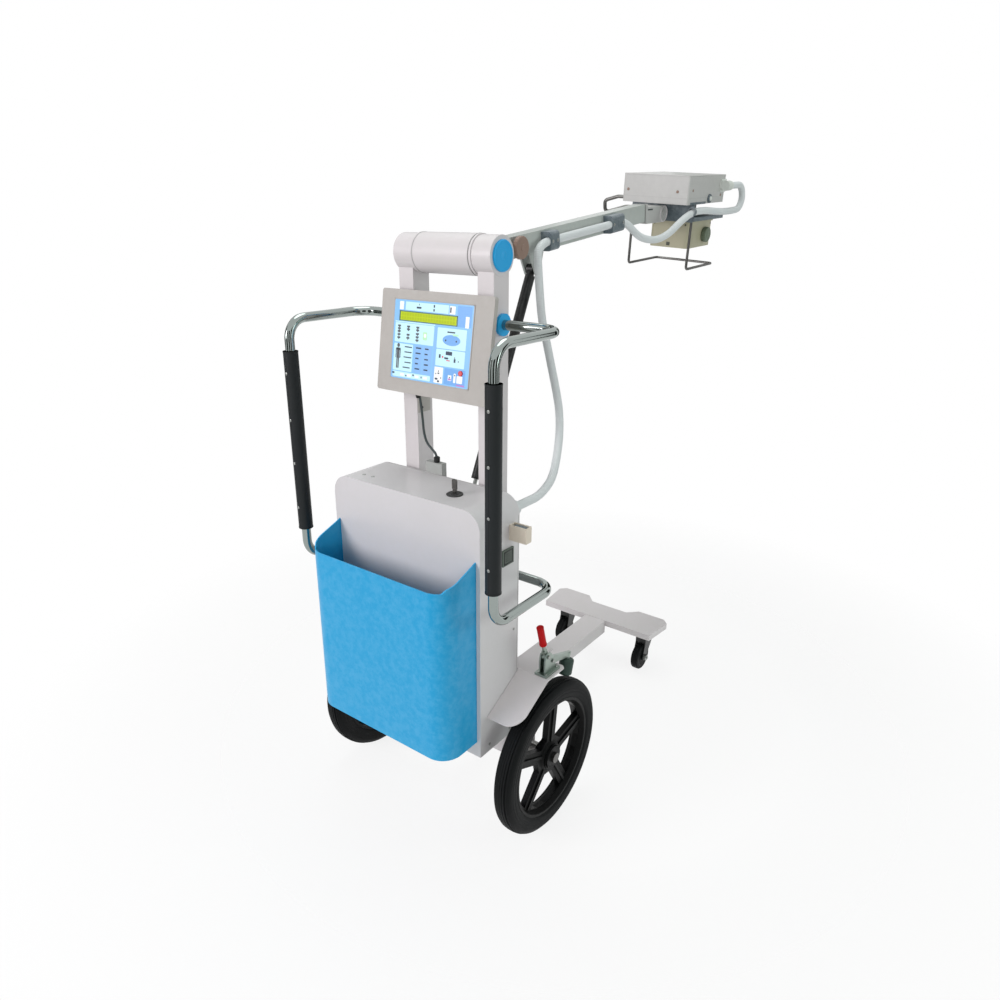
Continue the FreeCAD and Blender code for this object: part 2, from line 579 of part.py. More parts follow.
lever_run = (number("lever_tip_y") - number("lever_y"), number("lever_tip_z") - number("lever_z"))
lever_lean = math.degrees(math.atan2(-lever_run[0], lever_run[1]))
lever_reach = math.hypot(*lever_run)
lever_eye = rod("link_round", "link_width", "-link_width / 2", "0", "0", "X")
lever_blade = box("-link_width / 2", "-link_round * 0.7", "0", "link_width", "1.4 * link_round", "2.2 * link_round")
lever_grip = rod("lever_radius", "lever_sleeve", "0", "0", repr(lever_reach) + " - lever_sleeve")
lever_shank = rod("lever_rod", repr(lever_reach) + " - lever_sleeve - link_round + 1", "0", "0", "link_round")
lever_hole = rod("brake_pin + fit", "link_width + 2", "-link_width / 2 - 1", "0", "0", "X")
lever_tip = rounded(lever_grip, "lever_radius / 2",
                    lambda edge: edge.Curve.TypeId == "Part::GeomCircle" and edge.CenterOfMass.z > lever_reach / 2)
lever = node("brake_lever_right", cut(fuse(lever_eye, lever_blade, lever_shank, lever_tip), lever_hole),
             FreeCAD.Placement(vector(("brake_x", "axle_y + lever_y", "lever_z")),
                               FreeCAD.Rotation(FreeCAD.Vector(1, 0, 0), lever_lean)))
node("brake_lever_left", mirror(lever), SAME)

# Upright frame: two tubes, a cross tie with the strut's lower bracket, and the crossbar's two bosses

frame_parts = []
frame_holes = []
for side in ("upright_inner", "-upright_inner - upright_width"):
    frame_parts.append(box(side, "upright_y - upright_depth / 2", "beam_top", "upright_width", "upright_depth",
                           "crossbar_z - beam_top"))
    frame_holes.append(box(side + " + upright_wall", "upright_y - upright_depth / 2 + upright_wall",
                           "beam_top + upright_wall", "upright_width - 2 * upright_wall",
                           "upright_depth - 2 * upright_wall", "crossbar_z - beam_top - bar_radius - 2 * upright_wall"))
for side in ("sleeve_half + gap", "-boss_end"):
    frame_parts.append(rod("bar_radius", "boss_end - sleeve_half - gap", side, "upright_y", "crossbar_z", "X"))
upright_rear = "upright_y - upright_depth / 2"
frame_parts.append(span("-upright_inner", "upright_inner", upright_rear, upright_rear + " + tie_depth",
                        "foot_z - tie_height / 2", "foot_z + tie_height / 2"))
for side in ("eye_width / 2 + 2", "-eye_width / 2 - 2 - cheek_sheet"):
    frame_parts.append(box(side, upright_rear + " + tie_depth / 2", "foot_z - cheek_reach", "cheek_sheet",
                           "cheek_front - (%s + tie_depth / 2)" % upright_rear, "2 * cheek_reach"))
frame_holes.append(rod("shaft_radius + fit", "2 * boss_end + 2", "-boss_end - 1", "upright_y", "crossbar_z", "X"))
frame_holes.append(rod("pin_radius + foot_clear", "eye_width + 2 * cheek_sheet + 10", "-eye_width / 2 - cheek_sheet - 5",
                       "foot_y", "foot_z", "X"))
node("upright_frame", cut(fuse(*frame_parts), *frame_holes))
node("pivot_shaft", fuse(rod("shaft_radius", "2 * boss_end", "-boss_end", "upright_y", "crossbar_z", "X"),
                         rod("shaft_radius / 2", "2 * boss_end", "-boss_end", "upright_y", "crossbar_z", "X")))
cap = rod("cap_radius", "cap_width", "boss_end", "upright_y", "crossbar_z", "X")
cap_soft = rounded(cap, "cap_width / 3", lambda edge: edge.CenterOfMass.x > number("boss_end") + 1
                   and edge.Curve.TypeId == "Part::GeomCircle")
node("end_caps", group(cap_soft, mirror(cap_soft)))

# Arm: a square tube welded to the sleeve, with the strut's upper bracket below it

arm_parts = [
    box("-arm_width / 2", "0", "-arm_drop - arm_height / 2", "arm_width", "arm_length", "arm_height"),
    rod("sleeve_radius", "2 * sleeve_half", "-sleeve_half", "0", "0", "X"),
]
for side in ("lug_gap / 2", "-lug_gap / 2 - lug_sheet"):
    arm_parts.append(prism("YZ", [
        ("pivot_y - lug_length / 2", "-arm_drop - arm_height / 2 + 1"), ("pivot_y - eye_radius", "pivot_z"),
        ("pivot_y - eye_radius * 0.6", "pivot_z - eye_radius"), ("pivot_y + eye_radius * 0.6", "pivot_z - eye_radius"),
        ("pivot_y + eye_radius", "pivot_z"), ("pivot_y + lug_length / 2", "-arm_drop - arm_height / 2 + 1"),
    ], "lug_sheet", side))
arm_parts.append(rod("pin_radius", "lug_gap + 2 * lug_sheet + 6", "-lug_gap / 2 - lug_sheet - 3", "pivot_y", "pivot_z", "X"))
arm_holes = [
    box("-arm_width / 2 + arm_wall", "sleeve_radius + 4", "-arm_drop - arm_height / 2 + arm_wall",
        "arm_width - 2 * arm_wall", "arm_length - arm_plug - sleeve_radius - 4", "arm_height - 2 * arm_wall"),
    rod("shaft_radius + fit", "2 * sleeve_half + 2", "-sleeve_half - 1", "0", "0", "X"),
    rod("neck_radius + fit", "neck_length + 2", "0", "arm_length - neck_length - 1", "-arm_drop", "Y"),
    rod("knob_stem + fit", "arm_wall + 2", "arm_width / 2 - arm_wall - 1", "knob_y", "-arm_drop", "X"),
]
node("arm_tube", cut(fuse(*arm_parts), *arm_holes), ARM)

knob_face = "arm_width / 2 + knob_stand"
knob_disc = rod("knob_radius", "knob_width", knob_face, "knob_y", "-arm_drop", "X")
knob_soft = rounded(knob_disc, "knob_width / 4", lambda edge: edge.Curve.TypeId == "Part::GeomCircle")
node("lock_knob", fuse(
    knob_soft,
    rod("knob_stem", "knob_stand + 2 * arm_wall + 4", "arm_width / 2 - 2 * arm_wall", "knob_y", "-arm_drop", "X"),
    rod("knob_radius / 2", "knob_stand - gap + 2", "arm_width / 2 + gap", "knob_y", "-arm_drop", "X")), ARM)

hose_z = "-arm_drop - hose_slope_drop"
clips = []
for start, length in (("clip_rear", "clip_rear_length"), ("clip_front", "clip_front_length")):
    block = box("arm_width / 2", start, hose_z + " - clip_height / 2", "clip_reach", length, "clip_height")
    soft_block = rounded(block, "clip_height / 5", lambda edge: along("Y")(edge)
                         and edge.CenterOfMass.x > number("arm_width / 2 + 1"))
    clips.append(cut(soft_block, rod("hose_radius + clip_gap", length + " + 2", "hose_x", start + " - 1", hose_z, "Y")))
node("hose_clips", group(*clips), ARM)
node("hose_arm", bar([("hose_x", "hose_rear", hose_z), ("hose_x", "hose_front", hose_z)], "hose_radius"), ARM)

# Gas strut: its body hangs on the arm, its rod reaches the bracket on the uprights

strut_tube = rod("strut_radius", "strut_end - strut_start", "0", "strut_start", "0", "Y")
strut_eye = rod("eye_radius", "eye_width", "-eye_width / 2", "0", "0", "X")
strut_neck = rod("strut_radius * 0.7", "strut_start + 4", "0", "0", "0", "Y")
strut_holes = [
    rod("strut_bore", "strut_end - strut_start - 2 * strut_cap", "0", "strut_start + strut_cap", "0", "Y"),
    rod("rod_radius + fit", "strut_cap + 2", "0", "strut_end - strut_cap - 1", "0", "Y"),
    rod("pin_radius + fit", "eye_width + 2", "-eye_width / 2 - 1", "0", "0", "X"),
]
node("strut_cylinder", cut(fuse(strut_tube, strut_eye, strut_neck), *strut_holes), STRUT)
rod_end = repr(STRUT_LENGTH)
node("strut_rod", fuse(
    rod("rod_radius", "%s - piston_at" % rod_end, "0", "piston_at", "0", "Y"),
    rod("strut_bore - piston_gap", "piston_width", "0", "piston_at", "0", "Y"),
    rod("eye_radius", "eye_width", "-eye_width / 2", rod_end, "0", "X"),
    rod("pin_radius", "eye_width + 4 + 2 * pin_bite", "-eye_width / 2 - 2 - pin_bite", rod_end, "0", "X")), STRUT)

# Cabinet: a shell open in front, a cover on spacers against the uprights, and what it carries

cabinet_points = [
    ("-cabinet_half", "cabinet_low"), ("cabinet_half", "cabinet_low"),
    ("cabinet_half", "cabinet_top"), ("-cabinet_half", "cabinet_top"),
]
hollow_points = [
    ("-cabinet_half + sheet", "cabinet_low + sheet"), ("cabinet_half - sheet", "cabinet_low + sheet"),
    ("cabinet_half - sheet", "cabinet_top - sheet"), ("-cabinet_half + sheet", "cabinet_top - sheet"),
]


def rounded_case(points, length, start, radius):
    """A case seen from behind, rounded at its two upper corners."""
    body = new_body()
    shape = pad(body, "XZ", points, length, start)
    high = number(points[2][1])
    fillet(body, shape, radius, lambda edge: along("Y")(edge) and abs(edge.CenterOfMass.z - high) < 0.01)
    return body


shell_front = "cabinet_front - cover_sheet"
shell_outer = rounded_case(cabinet_points, "%s - cabinet_rear" % shell_front, "-(%s)" % shell_front, "cabinet_round")
shell_inner = rounded_case(hollow_points, "%s - cabinet_rear - sheet + 1" % shell_front, "-(%s) - 1" % shell_front,
                           "cabinet_round - sheet")
lock_hole = rod("lock_radius + gap", "2 * sheet + 2", "lock_x", "lock_y", "cabinet_top - sheet - 1")
node("cabinet_shell", cut(shell_outer, shell_inner, lock_hole))
cover_face = rounded_case(cabinet_points, "cover_sheet", "-cabinet_front", "cabinet_round")
spacers = [rod("spacer_radius", "upright_y - upright_depth / 2 - cabinet_front + cover_sheet / 2",
               "%s(upright_inner + upright_width / 2)" % sign, "cabinet_front - cover_sheet / 2", z, "Y")
           for sign in ("", "-") for z in ("spacer_low", "spacer_high")]
node("cabinet_cover", fuse(cover_face, *spacers))
module = span("-module_half", "module_half", "module_rear", "module_front",
              "cabinet_low + sheet", "cabinet_low + sheet + module_height")
node("power_module", rounded(module, "module_round", along("Z")))

lock = fuse(rod("lock_radius", "lock_depth + 1", "lock_x", "lock_y", "cabinet_top - lock_depth"),
            rod("ring_radius", "ring_height", "lock_x", "lock_y", "cabinet_top"))
node("key_switch", cut(lock, rod("key_root + fit", "lock_depth", "lock_x", "lock_y", "cabinet_top - lock_depth / 2")))
key_blade = box("-key_width / 2", "-key_sheet / 2", "key_shank", "key_width", "key_sheet", "key_height")
key_bow = rounded(key_blade, "key_width / 4", along("Y"))
key_stem = rod("key_root", "key_shank + 3 + lock_depth / 2 - gap", "0", "0", "-lock_depth / 2 + gap - ring_height")
key_neck = box("-key_sheet / 2 - 2", "-key_sheet / 2", "key_shank", "key_sheet + 4", "key_sheet", "3")
node("key", fuse(key_bow, key_stem, key_neck),
     FreeCAD.Placement(vector(("lock_x", "axle_y + lock_y", "cabinet_top + ring_height")), FreeCAD.Rotation()))

cup = span("cabinet_half", "cabinet_half + holder_reach", "holder_rear", "holder_front", "holder_low", "holder_top")
cup_hollow = span("cabinet_half + holder_wall", "cabinet_half + holder_reach - holder_wall", "holder_rear + holder_wall",
                  "holder_front - holder_wall", "holder_low + holder_wall", "holder_top + 1")
cup_soft = rounded(cup, "holder_round / 2",
                   lambda edge: along("Z")(edge) and edge.CenterOfMass.x > number("cabinet_half + 1"))
node("switch_holder", cut(cup_soft, cup_hollow))
node("cabinet_glands", group(
    span("cabinet_half", "cabinet_half + socket_depth", "socket_rear", "socket_front", "socket_low", "socket_top"),
    span("conduit_left", "conduit_right", "cabinet_front", "upright_y - upright_depth / 2", "conduit_low", "conduit_top"),
    rod("gland_radius", "gland_length", "gland_x", "cabinet_front", "gland_z", "Y")))

# Cassette bin, open above and towards the cabinet, with flanges to the cabinet and a rim falling towards the rear

bin_body = new_body()
bin_pad = pad(bin_body, "XY", [
    ("-bin_half", "bin_rear"), ("bin_half", "bin_rear"), ("bin_half", "cabinet_rear"), ("-bin_half", "cabinet_rear"),
], "bin_side_top - bin_low", "bin_low")
fillet(bin_body, bin_pad, "bin_round",
       lambda edge: along("Z")(edge) and edge.CenterOfMass.y < number("bin_rear") + 1)
bin_inner = new_body()
inner_pad = pad(bin_inner, "XY", [
    ("-bin_half + bin_wall", "bin_rear + bin_wall"), ("bin_half - bin_wall", "bin_rear + bin_wall"),
    ("bin_half - bin_wall", "cabinet_rear - bin_wall"), ("-bin_half + bin_wall", "cabinet_rear - bin_wall"),
], "bin_side_top - bin_low", "bin_low + bin_wall")
fillet(bin_inner, inner_pad, "bin_round - bin_wall",
       lambda edge: along("Z")(edge) and edge.CenterOfMass.y < number("bin_rear + bin_wall") + 1)
bin_mouth = prism("YZ", [
    ("bin_rear - 1", "bin_front_top"), ("bin_slope - 8", "bin_front_top"), ("bin_slope", "bin_side_low"),
    ("cabinet_rear", "bin_side_top"), ("cabinet_rear", "bin_side_top + 40"), ("bin_rear - 1", "bin_side_top + 40"),
], "2 * bin_half + 2", "0", True)
bin_back = [
    span("-bin_half + bin_wall + bin_flange", "bin_half - bin_wall - bin_flange", "cabinet_rear - bin_wall - 1",
         "cabinet_rear + 1", "bin_low + bin_wall + bin_flange", "bin_side_top + 1"),
    span("-bin_half + bin_wall", "bin_half - bin_wall", "cabinet_rear - bin_wall - 1", "cabinet_rear + 1",
         "bin_flange_top", "bin_side_top + 1"),
]
node("cassette_bin", cut(bin_body, bin_inner, bin_mouth, *bin_back))

# Control panel: a tilted tray with a bracket against the uprights, its film, screen and button

tray_block = box("-panel_half", "-panel_height / 2", "-panel_edge", "2 * panel_half", "panel_height", "panel_edge")
tray_soft = rounded(tray_block, "panel_round", along("Z"))
button_hole = rod("button_radius + gap", "button_depth + film_sheet + 1", "button_x", "button_y",
                  "-button_depth - button_travel - gap")
tray = cut(tray_soft, button_hole)
tray.Placement = PANEL
slope = math.tan(math.radians(number("panel_tilt")))
back_face = number("upright_y - upright_depth / 2")
tray_depth = (number("panel_edge") - 1) / math.cos(math.radians(number("panel_tilt")))


def behind(height):
    """Where the tray's back lies at a height."""
    return number("panel_y") + tray_depth + (height - number("panel_z")) * slope


low, high = number("back_low"), number("back_high")
back = document.addObject("Part::Feature", "bracket")
corners = [(back_face, low), (back_face, high), (behind(high), high), (behind(low), low)]
shift = number("axle_y")
wire = Part.makePolygon([FreeCAD.Vector(-number("back_half"), y + shift, z) for y, z in corners + corners[:1]])
back_block = Part.Face(wire).extrude(FreeCAD.Vector(2 * number("back_half"), 0, 0))
wall = number("sheet")
inner = [(back_face - wall, low + wall), (back_face - wall, high - wall),
         (behind(high) + wall, high - wall), (behind(low) + wall, low + wall)]
inner_wire = Part.makePolygon([FreeCAD.Vector(wall - number("back_half"), y + shift, z) for y, z in inner + inner[:1]])
back.Shape = back_block.cut(Part.Face(inner_wire).extrude(FreeCAD.Vector(2 * number("back_half") - 2 * wall, 0, 0)))
node("panel_housing", fuse(tray, back), SAME)
film = span("film_left", "film_right", "film_low", "film_top", "0", "film_sheet")
screen_hole = span("screen_left", "screen_right", "screen_low", "screen_top", "-1", "film_sheet + 1")
film_hole = rod("button_radius + gap", "film_sheet + 2", "button_x", "button_y", "-1")
node("membrane", cut(rounded(film, "panel_round / 2", along("Z")), screen_hole, film_hole), PANEL)
screen = span("screen_left + fit", "screen_right - fit", "screen_low + fit", "screen_top - fit", "0", "screen_sheet")
node("display", rounded(screen, "0.3", along("Z")), PANEL)
button = rod("button_radius", "button_depth + button_height", "button_x", "button_y", "-button_depth")
node("red_button", rounded(button, "button_radius / 5", lambda edge: edge.Curve.TypeId == "Part::GeomCircle"
                           and edge.CenterOfMass.z > 0), PANEL)

# Grab rails with their grips and end flanges

upright_side = "upright_inner + upright_width"
flange_x = upright_side + " + flange_width"
rail_route = [
    (flange_x, "rail_y", "rail_top"), ("rail_x", "rail_y", "rail_top"), ("rail_x", "rail_rear", "rail_top"),
    ("rail_x", "rail_rear", "rail_low"), ("rail_x", "rail_y", "rail_low"), (flange_x, "rail_y", "rail_low"),
]
rail_right = node("rail_right", bar(rail_route, "rail_radius", "rail_bend", "rail_radius - rail_wall"))
node("rail_left", mirror(rail_right), SAME)
sleeve = cut(rod("grip_radius", "grip_top - grip_low", "rail_x", "rail_rear", "grip_low"),
             rod("rail_radius + fit", "grip_top - grip_low + 2", "rail_x", "rail_rear", "grip_low - 1"))
node("grips", group(sleeve, mirror(sleeve)))
flanges = [rod("flange_radius", "flange_width", upright_side, "rail_y", z, "X") for z in ("rail_top", "rail_low")]
node("rail_collars", group(*flanges, *[mirror(flange) for flange in flanges]))

# Tube head: swivel, mounting bracket, housing with its lid and tube, handle, guard and connector

neck_end = ARM.multVec(vector(("0", "arm_length + gap", "-arm_drop")))
arm_turn = FreeCAD.Placement(neck_end, FreeCAD.Rotation(FreeCAD.Vector(1, 0, 0), number("arm_slope")))
in_head = HEAD.inverse().multiply(arm_turn)
swivel_plate = box("-cheek_half", "0", "-arm_height / 2", "2 * cheek_half", "10", "arm_height")
neck = rod("neck_radius", "neck_length + gap + 1", "0", "-neck_length - gap", "0", "Y")
swivel_end = fuse(swivel_plate, neck)
swivel_end.Placement = in_head
swivel_core = span("-cheek_half", "cheek_half", "swivel_rear + 6", "-swivel_step", "swivel_low", "swivel_top")
swivel_cheeks = []
for start, end in (("tongue_half + cheek_gap", "cheek_half"), ("-cheek_half", "-tongue_half - cheek_gap")):
    swivel_cheeks.append(span(start, end, "-swivel_step - 1", "tilt_y", "swivel_low", "swivel_top"))
    swivel_cheeks.append(rod("(swivel_top - swivel_low) / 2", "cheek_half - tongue_half - cheek_gap", start,
                             "tilt_y", "tilt_z", "X"))
tilt_pin = rod("tilt_pin", "2 * cheek_half + 6", "-cheek_half - 3", "tilt_y", "tilt_z", "X")
node("head_swivel", fuse(swivel_end, swivel_core, *swivel_cheeks, tilt_pin), HEAD)

tongue = span("-tongue_half", "tongue_half", "tilt_y", "cross_y + 1", "tilt_z - tongue_height / 2 + 1", "tilt_z + tongue_height / 2 + 1")
tongue_eye = rod("tongue_height / 2 - 1", "2 * tongue_half", "-tongue_half", "tilt_y", "tilt_z", "X")
cross = span("-cross_half", "cross_half", "cross_y", "cross_y + cross_sheet", "cross_low", "0")
tray_plate = span("-head_half", "head_half", "cross_y + cross_sheet / 2", "tray_front", "tray_low", "tray_top")
column = rod("column_radius", "-tray_top + 1", "0", "beam_at", "tray_top - 1")
beam_way = rod("spigot_radius + fit", "-tray_low + 2", "0", "beam_at", "tray_low - 1")
tilt_hole = rod("tilt_pin + fit", "2 * tongue_half + 2", "-tongue_half - 1", "tilt_y", "tilt_z", "X")
node("head_plate", cut(fuse(tongue, tongue_eye, cross, tray_plate, column), beam_way, tilt_hole), HEAD)

case = rounded(span("-head_half", "head_half", "0", "head_length", "0", "head_height - lid_sheet"),
               "head_round", along("Z"))
case_hollow = span("-head_half + head_wall", "head_half - head_wall", "head_wall", "head_length - head_wall",
                   "head_wall", "head_height")
port = rod("port_radius", "head_wall + 2", "0", "beam_at", "-1")
node("head_housing", cut(case, case_hollow, port), HEAD)
lid = span("-head_half", "head_half", "0", "head_length", "head_height - lid_sheet", "head_height")
node("head_cover", rounded(lid, "head_round", along("Z")), HEAD)
tube_z = "head_wall + cradle_half"
cradles = [span(x, x + " + cradle_width", "beam_at - cradle_half", "beam_at + cradle_half", "head_wall", tube_z)
           for x in ("-tube_half + 10", "tube_half - cradle_width - 10")]
node("xray_tube", fuse(rod("tube_radius", "2 * tube_half", "-tube_half", "beam_at", tube_z + " + 6", "X"), *cradles), HEAD)

guard_y = "cross_y + cross_sheet / 2"
guard_route = [
    ("-guard_half", guard_y, "cross_low"), ("-guard_half", guard_y, "guard_low"),
    ("-guard_half", "guard_front", "guard_low"), ("guard_half", "guard_front", "guard_low"),
    ("guard_half", guard_y, "guard_low"), ("guard_half", guard_y, "cross_low"),
]
node("guard_loop", bar(guard_route, "guard_radius", "guard_bend"), HEAD)
grab_route = [
    ("-head_half", "grab_y", "grab_z"), ("-head_half - 20", "grab_y", "grab_z"), ("-grab_reach", "grab_y - 3", "grab_z - 14"),
    ("-grab_reach + 2", "grab_y", "grab_low"), ("-cross_half - 24", guard_y, "grab_low + 18"),
    ("-cross_half", guard_y, "grab_low + 18"),
]
node("head_handle", bar(grab_route, "grab_radius", "grab_bend"), HEAD)
node("hose_connector", fuse(
    box("head_half", "plug_y - 2", "plug_z - plug_block", "plug_base", "plug_length + 4", "2 * plug_block"),
    box("head_half", "plug_y + 4", "plug_z - plug_radius * 0.8", "plug_x - head_half", "plug_length - 8", "1.6 * plug_radius"),
    rod("plug_radius", "plug_length", "plug_x", "plug_y", "plug_z", "Y")), HEAD)

# Collimator: a hollow box that turns under the bracket, with its pane and dial

lamp_top = "tray_low - gap"
lamp_case = span("-collimator_half", "collimator_half", "collimator_rear", "collimator_front", "collimator_low",
                 lamp_top + " - lamp_sheet / 2")
lamp_brim = span("-collimator_half - 4", "collimator_half + 4", "collimator_rear - 4", "collimator_front + 4",
                 lamp_top + " - lamp_sheet", lamp_top)
lamp = [
    rounded(lamp_case, "lamp_round", along("Z")),
    rounded(lamp_brim, "lamp_round", along("Z")),
    rod("spigot_radius", "spigot_height + gap + 1", "0", "beam_at", lamp_top + " - 1"),
]
lamp_holes = [
    rod("port_radius", "-collimator_low", "0", "beam_at", "collimator_low / 2"),
    span("-beam_hole", "beam_hole", "beam_at - beam_hole", "beam_at + beam_hole", "collimator_low - 1", "collimator_low / 2"),
    span("-pane_half", "pane_half", "beam_at - pane_half", "beam_at + pane_half", "collimator_low - 1",
         "collimator_low + pane_sheet"),
    rod("dial_stem + fit", "dial_hole + 1", "collimator_half - dial_hole", "dial_y", "dial_z", "X"),
]
node("collimator_body", cut(fuse(*lamp), *lamp_holes), HEAD)
pane = span("-pane_half + gap", "pane_half - gap", "beam_at - pane_half + gap", "beam_at + pane_half - gap",
            "collimator_low", "collimator_low + pane_sheet")
node("collimator_window", rounded(pane, "1", along("Z")), HEAD)
dial = rounded(rod("dial_radius", "dial_width", "collimator_half + gap", "dial_y", "dial_z", "X"), "dial_width / 6",
               lambda edge: edge.Curve.TypeId == "Part::GeomCircle")
node("collimator_knob", fuse(dial, rod("dial_stem", "dial_hole + gap", "collimator_half - dial_hole + gap",
                                       "dial_y", "dial_z", "X")), HEAD)

# Cable hose: a hanging loop from the cabinet to the arm, and a free end from the arm to the head


def on_arm(y):
    """A point of the hose's straight stretch on the arm."""
    spot = ARM.multVec(vector(("hose_x", y, hose_z)))
    return (repr(spot.x), repr(spot.y - number("axle_y")), repr(spot.z))


def on_plug(ahead):
    """A point straight ahead of the connector, where the hose leaves it."""
    spot = HEAD.multVec(vector(("plug_x", "plug_y + plug_length + " + ahead, "plug_z")))
    return (repr(spot.x), repr(spot.y - number("axle_y")), repr(spot.z))


loop_route = [
    on_arm("hose_rear"), on_arm("hose_rear - 57"),
    (50, 268, 1335), (54, 271, 1278), (60, 273, 1222), (75, 276, 1165), (87, 281, 1108), (99, 287, 1050),
    (111, 288, 995), (126, 268, 940), (146, 226, 893), (168, 176, 862), (184, 122, 850), (195, 68, 846),
    ("gland_x", "20", "gland_z"), ("gland_x", "cabinet_front + gland_length", "gland_z"),
]
node("hose_loop", bar(loop_route, "hose_radius"))
end_route = [
    on_arm("hose_front"), on_arm("hose_front + 34"),
    (56, 764, 1411), (68, 812, 1400), (77, 858, 1401), (88, 906, 1418), (101, 950, 1452), (118, 992, 1478),
    (129, 1048, 1483), (133, 1104, 1481), (134, 1158, 1480), (134, 1212, 1481), (134, 1270, 1484),
    (134, 1324, 1490), (134, 1347, 1527), (133, 1325, 1564), on_plug("44"), on_plug("0"),
]
node("hose_head", bar(end_route, "hose_radius"))

# Panel cable from the underside of the panel to the conduit box

cable_route = [
    (-64, -50, 1094), (-65, -42, 1060), (-66, -36, 1020), (-66, -33, 982), (-59, -32, 957), (-43, -32, 944),
    ("cable_end_x", -32, "conduit_top + 18"), ("cable_end_x", -32, "conduit_top"),
]
node("panel_cable", bar(cable_route, "cable_radius"))

document.recompute()
for item in document.Objects:
    if "Invalid" in item.State or "Error" in item.State:
        raise RuntimeError("the document object %s (%s) failed" % (item.Name, item.Label))

os.makedirs("parts", exist_ok=True)
labels = [item.Label for item in nodes]
if len(set(labels)) != len(labels):
    raise RuntimeError("two sub-parts share a name")
for item in nodes:
    shape = item.Shape
    if shape.isNull() or not shape.isValid() or not shape.Solids:
        raise RuntimeError("the shape of %s is not sound" % item.Label)
    shape.exportStep("parts/%s.step" % item.Label)
print("%d sub-parts written" % len(nodes))
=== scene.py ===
import math

import bmesh
import bpy
from mathutils import Matrix, Vector


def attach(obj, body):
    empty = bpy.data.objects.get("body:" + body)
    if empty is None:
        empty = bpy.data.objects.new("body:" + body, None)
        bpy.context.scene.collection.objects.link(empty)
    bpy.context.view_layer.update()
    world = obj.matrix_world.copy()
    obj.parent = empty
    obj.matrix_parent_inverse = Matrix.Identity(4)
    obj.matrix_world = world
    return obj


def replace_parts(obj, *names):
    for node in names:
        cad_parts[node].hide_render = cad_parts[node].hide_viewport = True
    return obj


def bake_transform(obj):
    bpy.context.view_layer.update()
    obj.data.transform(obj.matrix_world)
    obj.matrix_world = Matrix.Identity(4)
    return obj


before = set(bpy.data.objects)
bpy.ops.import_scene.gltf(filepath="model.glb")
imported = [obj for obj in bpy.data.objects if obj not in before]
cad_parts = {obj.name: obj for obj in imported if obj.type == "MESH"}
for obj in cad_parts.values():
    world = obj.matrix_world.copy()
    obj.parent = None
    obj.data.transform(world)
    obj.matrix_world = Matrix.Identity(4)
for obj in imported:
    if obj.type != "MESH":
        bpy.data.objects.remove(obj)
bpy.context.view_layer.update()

MM = 0.001
AXLE_Y = -494.45

# Places that several pieces share, in millimetres, Y counted from the rear axle

HUB_SIDE = 288
HUB_HEIGHT = 200
CASTER_SIDE = 153
CASTER_AXLE = (788, 45)
LEVER_SIDE = 285
LEVER_FOOT = (-15, 489)
LEVER_TOP = (-41, 577)
CROSSBAR = (3, 1388)
GRIP_SIDE = 290
LOCK_PLACE = (104, -123, 887)
KNOB_AXIS = (208, -17.6)
SIDE_HINGE = (110, 156, 14)
DIAL_AXIS = (249, -102)
SIDES = ((1, "right"), (-1, "left"))

# Frames of the tilted pieces, in metres


def frame_at(x, y, z, *turns):
    """A frame at a point in millimetres, its Y counted from the rear axle."""
    matrix = Matrix.Translation(Vector((x, y + AXLE_Y, z)) * MM)
    for degrees, axis in turns:
        matrix = matrix @ Matrix.Rotation(math.radians(degrees), 4, axis)
    return matrix


CHASSIS = frame_at(0, 0, 0)
ARM = frame_at(0, *CROSSBAR, (6.8, "X"))
PANEL = frame_at(0, -68.35, 1197.55, (81.3, "X"))
HEAD = frame_at(0, 966, 1503, (3.6, "Y"), (3.0, "X"))
SCENE = bpy.context.scene


def local(matrix, x, y, z):
    """A point given in a frame's millimetres, in metres."""
    return matrix @ (Vector((x, y, z)) * MM)


# Camera at the photograph's place and direction

CAMERA_PLACE = Vector((1.1411, -1.3442 + AXLE_Y * MM, 1.470))
CAMERA_TURN = math.radians(36.7548)
CAMERA_DROP = math.radians(20.4244)
CAMERA_ROLL = math.radians(0.3157)
CAMERA_LENS = 27.678


def add_camera():
    ahead = Vector((-math.sin(CAMERA_TURN) * math.cos(CAMERA_DROP),
                    math.cos(CAMERA_TURN) * math.cos(CAMERA_DROP), -math.sin(CAMERA_DROP)))
    level = Vector((math.cos(CAMERA_TURN), math.sin(CAMERA_TURN), 0))
    above = level.cross(ahead)
    right = level * math.cos(CAMERA_ROLL) + above * math.sin(CAMERA_ROLL)
    up = above * math.cos(CAMERA_ROLL) - level * math.sin(CAMERA_ROLL)
    data = bpy.data.cameras.new("camera")
    data.lens = CAMERA_LENS
    data.sensor_width = 36
    data.clip_end = 60
    camera = bpy.data.objects.new("camera", data)
    matrix = Matrix((right, up, -ahead)).transposed().to_4x4()
    matrix.translation = CAMERA_PLACE
    camera.matrix_world = matrix
    SCENE.collection.objects.link(camera)
    SCENE.camera = camera


add_camera()
SCENE.view_settings.view_transform = "Standard"

# Colours


def paint(code):
    """A linear colour from a hex code."""
    values = []
    for start in (0, 2, 4):
        value = int(code[start:start + 2], 16) / 255
        values.append(value / 12.92 if value <= 0.04045 else ((value + 0.055) / 1.055) ** 2.4)
    return (*values, 1.0)


# Effects shared by the materials, each a node group of colours, masks and heights


def new_group(name, inputs, outputs):
    group = bpy.data.node_groups.new(name, "ShaderNodeTree")
    for label, kind, value in inputs:
        socket = group.interface.new_socket(label, in_out="INPUT", socket_type="NodeSocket" + kind)
        socket.default_value = value
    for label, kind in outputs:
        group.interface.new_socket(label, in_out="OUTPUT", socket_type="NodeSocket" + kind)
    return group, group.nodes.new("NodeGroupInput"), group.nodes.new("NodeGroupOutput")


